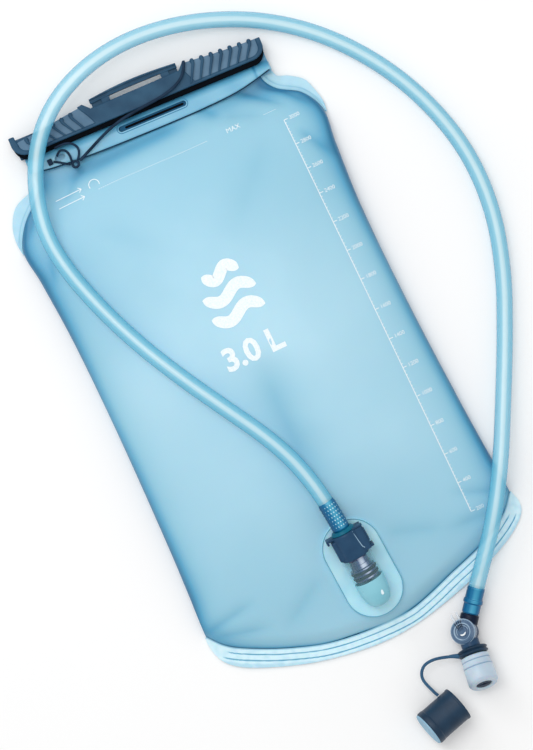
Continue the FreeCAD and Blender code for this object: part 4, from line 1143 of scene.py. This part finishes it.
# ---------------------------------------------------------------- hose, bite valve and dust cap
def bite_valve():
    over_hose = [p for p in reversed(route_line(HOSE_ROUTE)) if (p - DRUM).length < 30.6]

    def swell(share):
        """Rolled ends and one raised ring."""
        ends = min(1, 0.9 + share * 2, 0.9 + (1 - share) * 2)
        return ends + 0.11 * step(0.36, 0.41, share) * step(0.56, 0.51, share)

    sleeve = tube("valve_barb", spread_along(over_hose, 90), 5.65, segments=48, taper=swell)
    pieces = [dress(sleeve, BARB, "hose_line", "valve_plastic")]
    collar = [(5.0, 3.0), (5.0, 5.5), (6.0, 6.0), (11.0, 6.0), (11.75, 5.5), (11.75, 3.0), (5.0, 3.0)]
    pieces.append(dress(lathe("valve_collar", DRUM, TO_HOSE, collar, 0.4), DARK, "hose_line",
                        "valve_plastic"))
    drum = [(-5.4, 0.01), (-5.4, 6.0), (-4.6, 6.9), (1.3, 6.9), (3.9, 6.9), (3.9, 4.7), (-4.1, 4.7),
            (-4.1, 0.01)]
    body = [lathe("drum", DRUM, DIAL, drum, 0.3),
            lathe("neck", DRUM, TO_MOUTH,
                  [(5.0, 3.6), (5.0, 6.0), (10.5, 6.0), (10.5, 5.4), (15.8, 5.4), (15.8, 6.0),
                                           (21.0, 6.0), (21.0, 7.4), (23.0, 7.4), (23.0, 6.0), (29.0, 6.0),
                                           (29.0, 3.6), (5.0, 3.6)], 0.25)]
    pieces.append(dress(join("valve_body", body), VALVE, "hose_line", "valve_plastic", "valve_elbow"))
    dial = [lathe("cover", DRUM, DIAL,
                  [(1.7, 7.3), (1.7, 8.0), (2.4, 8.2), (5.4, 8.2), (6.5, 7.6), (6.5, 6.9),
                                        (7.0, 6.7), (7.0, 5.0), (6.5, 4.7), (6.5, 3.3), (7.3, 3.0),
                                        (7.3, 0.01),
                                        (4.4, 0.01), (4.4, 7.2), (1.7, 7.3)], 0.2)]
    ahead = Vector((0, 1, 0)) - DIAL * DIAL.y - Vector((0.12, 0, 0))
    ahead.normalize()
    across = DIAL.cross(ahead)
    for side in (-1.9, 1.9):
        root = DRUM + DIAL * 5.9 + across * side
        dial.append(tube("prong", [root + ahead * k for k in (4.0, 6, 8, 10, 11.6, 12.4, 12.9)], 0.85,
                         taper=lambda share: 1 - 0.35 * share ** 3))
    pieces.append(dress(join("dial_prongs", dial[1:]), DIAL_CLEAR, "dial", "dial_clear"))
    pieces.append(dress(dial[0], DIAL_COVER, "dial", "dial_clear", "shutoff_dial"))
    rings = []
    for radius, high, thick in ((7.75, 5.6, 0.55), (5.3, 6.75, 0.5), (3.9, 6.2, 0.35)):
        ring = circle(DRUM + DIAL * high, across, ahead, radius, 60)
        rings.append(tube("ring", ring, thick, segments=10, closed=True))
    pieces.append(dress(join("dial_rings", rings), DIAL_PALE, "dial", "dial_clear"))
    arc = []
    for k in range(41):
        turn = math.radians(190 + 4 * k)
        arc.append(DRUM + DIAL * 6.9 + (ahead * math.sin(turn) + across * math.cos(turn)) * 2.3)
    crescent = tube("mark", arc, 0.8, segments=8,
                    taper=lambda share: math.sin(math.pi * min(max(share, 0.06), 0.94)) ** 0.6)
    pieces.append(dress(join("dial_marks", [crescent]), MARK, "dial", "dial_clear"))
    rays = []
    for aside in (-2.1, -0.7, 0.7, 2.1):
        rays.append(tube("ray", [DRUM + DIAL * 7.05 + across * aside * (0.55 + 0.07 * r) + ahead * r
                                 for r in (0.6, 2.6, 4.6, 6.9)], 0.27, segments=8))
    pieces.append(dress(join("dial_rays", rays), DARK, "dial", "dial_clear"))
    sheath = [(15.9, 6.0), (15.9, 8.3), (16.8, 8.9), (18.6, 9.0), (19.1, 8.6), (19.7, 9.1), (22.6, 9.4),
              (23.1, 9.0),
              (23.7, 9.45), (29.8, 9.6), (33.8, 9.6), (35.4, 8.4), (35.4, 5.5), (34.8, 5.1), (32.6, 4.9),
              (32.2, 4.4), (32.2, 0.01), (29.1, 0.01), (29.1, 6.0), (15.9, 6.0)]
    side = TO_MOUTH.cross(Vector((0, 0, 1))).normalized()
    upward = side.cross(TO_MOUTH)

    def slanted(obj):
        """Leans the mouth end's face up, so that its upper side is shorter."""
        for vertex in obj.data.vertices:
            away = vertex.co * 1000 - DRUM
            lean = step(24, 34, away.dot(TO_MOUTH)) * 0.22
            vertex.co -= TO_MOUTH * (away.dot(upward) * lean * 0.001)
        return obj

    shell = slanted(lathe("mouthpiece", DRUM, TO_MOUTH, sheath, 0.35))
    pieces.append(dress(shell, SILICONE, "hose_line", "silicone", "bite_valve"))
    # Darker rings in the sheath's grooves: painted shade.
    grooves = []
    for at, radius in ((19.1, 8.6), (23.3, 9.0)):
        ring = circle(DRUM + TO_MOUTH * at, side, upward, radius, 72)
        grooves.append(tube("groove", ring, 0.5, segments=8, closed=True))
    pieces.append(dress(join("mouthpiece_grooves", grooves), GROOVE, "hose_line", "silicone"))
    # A dark floor in the mouthpiece's open end: painted shade in its recess.
    floor = [(34.2, 0.01), (34.9, 1.5), (35.0, 4.7), (34.6, 5.0), (33.6, 4.9), (33.6, 0.01)]
    pieces.append(dress(slanted(lathe("mouthpiece_recess", DRUM, TO_MOUTH, floor, 0.15)), RECESS, "hose_line",
                        "silicone"))
    # A dark line across the mouthpiece's end: painted shade in its slit.
    slit = tube("mouthpiece_slit", [DRUM + TO_MOUTH * 35.0 + side * k for k in (-3.8, -2, 0, 2, 3.8)], 0.28,
                segments=8, taper=lambda share: 1 - 0.8 * abs(2 * share - 1) ** 3)
    pieces.append(dress(slit, DARK, "hose_line", "silicone"))
    return pieces


def dust_cap():
    ring = [(11.0, 5.75), (11.0, 8.5), (11.3, 9.3), (12.0, 9.8), (12.7, 9.3), (13.2, 8.7), (13.7, 9.3),
            (14.4, 9.8),
            (15.1, 9.3), (15.4, 8.5), (15.4, 5.75), (11.0, 5.75)]
    pieces = [dress(lathe("cap_band", DRUM, TO_MOUTH, ring, 0.25), RUBBER, "dust_cover", "cap_rubber",
                    "cap_ring")]
    root = [Vector(p) for p in ((33.6, -224.2, 12.2), (31.4, -223.0, 12.0), STRAP_ROUTE[0],
                                (26.0, -220.8, 11.0))]
    pieces.append(dress(tube("strap_root", smooth_line(root, 24), 1.9, segments=12,
                             taper=lambda share: 1 - 0.45 * share), STRAP, "dust_cover", "cap_rubber"))
    cup = [(13.0, 10.6), (13.0, 11.4), (12.6, 11.75), (11.4, 11.75), (11.0, 11.4), (-8.0, 11.4),
           (-8.4, 11.75),
           (-11.6, 11.75), (-13.0, 10.4), (-13.0, 8.6), (-12.4, 8.2), (-12.4, 0.01), (-11.0, 0.01),
           (-11.0, 10.4),
           (13.0, 10.6)]
    tilt = math.radians(9)
    axis = CAP_AXIS * math.cos(tilt) - Vector((0, 0, math.sin(tilt)))
    centre = CAP_CENTRE + Vector((0, 0, 1.7))
    pieces.append(dress(lathe("dust_cup", centre, axis, cup, 0.4, segments=96), RUBBER, "dust_cover",
                        "cap_rubber", "dust_cap"))
    plate = [(-12.2, 11.3), (-12.9, 10.9), (-13.2, 10.2), (-13.2, 8.8), (-12.9, 8.3), (-12.9, 0.01)]
    pieces.append(dress(lathe("dust_cup_plate", centre, axis, plate, 0.2), CAP_FACE, "dust_cover",
                        "cap_rubber"))
    return pieces


def hose():
    made = nurbs("drinking_hose", HOSE_ROUTE)
    made.data.bevel_depth = HOSE_DIAMETER / 2000
    made.data.bevel_resolution = 10
    made.data.resolution_u = 24
    return dress(made, HOSE, "hose_line", "hose_clear", "hose")


def declare_hose():
    length = length_of(route_line(HOSE_ROUTE))
    tuple(mm(HOSE_ROUTE[0]))


def strap():
    made = nurbs("cap_strap_cord", STRAP_ROUTE)
    made.data.bevel_depth = 0.001
    made.data.bevel_resolution = 4
    dress(made, STRAP, "dust_cover", "cap_rubber", "cap_strap")
    length = length_of(route_line(STRAP_ROUTE))
    tuple(mm(STRAP_ROUTE[0]))


# ---------------------------------------------------------------- printed marks
def on_film(x, y):
    """Point just above the front film."""
    relief = min(ripple(x, y) - creased(x, y), 0.25) * min(side_distance(x, y) / 9, 1)
    return (x, y, film_height(x, y) + relief + 0.12)


def bar(start, end, width):
    """Printed line as a narrow sheet that follows the film."""
    a, b = Vector(start), Vector(end)
    side = Vector((-(b - a).y, (b - a).x)).normalized() * width / 2
    count = max(2, int((b - a).length / 3) + 1)
    return grid("line", count, 2, lambda u, v: on_film(*(a.lerp(b, u) + side * (2 * v - 1))))


def words(text, x, y, size, weight=0.0):
    """Generic text, its left end at x and its middle at y, with strokes that much heavier."""
    curve = bpy.data.curves.new("text", "FONT")
    curve.offset = weight
    curve.body = text
    curve.size = size
    curve.resolution_u = 3
    curve.align_y = "CENTER"
    obj = bpy.data.objects.new("text", curve)
    mesh = bpy.data.meshes.new_from_object(obj)
    bpy.data.objects.remove(obj)
    for vertex in mesh.vertices:
        vertex.co = mm(on_film(x + vertex.co.x, y + vertex.co.y))
    made = bpy.data.objects.new("text", mesh)
    bpy.context.scene.collection.objects.link(made)
    return made


def ribbon(line, width):
    """Printed band of changing width along a plan line: width(share)."""
    def at(u, v):
        here, ahead = pick(line, u), pick(line, min(u + 0.01, 1))
        if u > 0.985:
            here, ahead = pick(line, u - 0.01), pick(line, u)
            base = ahead
        else:
            base = here
        way = (ahead - here).normalized()
        side = Vector((-way.y, way.x, 0)) * width(u) * (v - 0.5)
        return on_film(base.x + side.x, base.y + side.y)
    return grid("band", 90, 5, at)


def prints():
    marks = []
    x = 78.0
    marks.append(bar((x, 129.5), (x, -144), 0.5))
    heights = (129.5, 112.5, 95.5, 78, 58, 38, 18, -3, -23.5, -43.5, -63.5, -84, -104, -124, -144)
    for k, y in enumerate(heights):
        marks.append(bar((x, y), (x + 2.6, y), 0.5))
        marks.append(words(str(3000 - 200 * k), x + 3.6, y, 3.6))
    for high, low in zip(heights, heights[1:]):
        for k in range(1, 8):
            y = high + (low - high) * k / 8
            marks.append(bar((x, y), (x + 1.1, y), 0.3))
    for start, end in ((-46, 30), (68, 78)):
        for k in range(int((end - start) / 1.5)):
            at = start + 1.5 * k
            y = 140.6 - 2.4 * step(-46, 30, at)
            marks.append(bar((at, y), (at + 0.7, y), 0.35))
    marks.append(words("MAX", 42, 138.5, 4.4))
    marks.append(words("3.0 L", -22, 7, 20, 0.7))
    for row, reach in enumerate((12, 17.5, 17.5)):
        wave = [Vector((-reach + 2 * reach * k / 60,
                        59.5 - 13.5 * row + 3.2 * math.sin(math.pi * (k - 30) / 24), 0))
                for k in range(61)]
        marks.append(ribbon(wave, lambda share: 7.4 * (1 - abs(2 * share - 1) ** 9) + 0.2))
    for y, tip in ((145.7, -56), (140.3, -56)):
        marks.append(bar((-74, y), (tip, y), 0.5))
        marks.append(bar((tip - 2, y + 1.6), (tip, y), 0.5))
        marks.append(bar((tip - 2, y - 1.6), (tip, y), 0.5))
    arc = [Vector((-47.5 + 3.4 * math.cos(math.radians(a)), 144.6 + 3.4 * math.sin(math.radians(a)), 0))
           for a in range(200, -21, -10)]
    marks.append(ribbon(arc, lambda share: 0.5))
    dress(join("printed_marks", marks), PRINT, "reservoir", "film")


# ---------------------------------------------------------------- studio
def studio():
    scene = bpy.context.scene
    scene.view_settings.view_transform = "Standard"
    floor = grid("studio_floor", 2, 2, lambda u, v: (-6000 + 12000 * u, -6000 + 12000 * v, -0.05))
    look = Look("floor", 0.9, Specular_IOR_Level=0.1)
    look.colour(look.ramp(look.noise(3, 2), [(0.3, srgb(252, 252, 252)), (0.7, srgb(254, 254, 254))]))
    floor.data.materials.append(look.material)
    world = bpy.data.worlds.new("studio")
    world.use_nodes = True
    background = world.node_tree.nodes["Background"]
    background.inputs["Color"].default_value = (1, 1, 1, 1)
    background.inputs["Strength"].default_value = 0.6
    scene.world = world
    for name, place, size, power in (("key", (-300, 700, 1900), 0.9, 10.5), ("top", (150, 0, 2600), 1.3, 10),
                                     ("side", (-500, 1400, 1200), 0.8, 5)):
        light = bpy.data.lights.new(name, "AREA")
        light.size = size
        light.energy = power
        lamp = bpy.data.objects.new(name, light)
        lamp.location = mm(place)
        lamp.rotation_euler = (-lamp.location).to_track_quat("-Z", "Y").to_euler()
        scene.collection.objects.link(lamp)


def camera():
    data = bpy.data.cameras.new("camera")
    cam = bpy.data.objects.new("camera", data)
    bpy.context.scene.collection.objects.link(cam)
    right, up = Vector((0.902, -0.432, 0)).normalized(), Vector((0.432, 0.902, 0)).normalized()
    turn = Matrix((right, up, right.cross(up))).transposed().to_4x4()
    distance = 2.0
    cam.matrix_world = Matrix.Translation(mm((-1.3, -10.6, 15)) + Vector((0, 0, distance))) @ turn
    data.sensor_width = 36
    data.lens = 36 * distance / 0.4725
    data.clip_end = 100
    bpy.context.scene.camera = cam


camera()
studio()
reservoir()
bottom_weld()
shoulder("shoulder_weld_left_strip", "shoulder_weld_left", SIDE_LEFT,
         ((-107.6, 124.5), (-108.2, 133.0), (-106.0, 143.4), (-98.8, 153.8), (-84.0, 160.4), (-79.6, 168.8)))
shoulder("shoulder_weld_right_strip", "shoulder_weld_right", SIDE_RIGHT,
         ((105.6, 123.5), (106.2, 131.0), (104.2, 140.6), (101.4, 148.2), (93.4, 154.6), (86.2, 158.4),
          (85.6, 168.5)))
mouth()
slider_closure()
tether()
port()
coupling()
main_hose = hose()
on_hose = bite_valve() + dust_cap()
strap()
declare_hose()
prints()
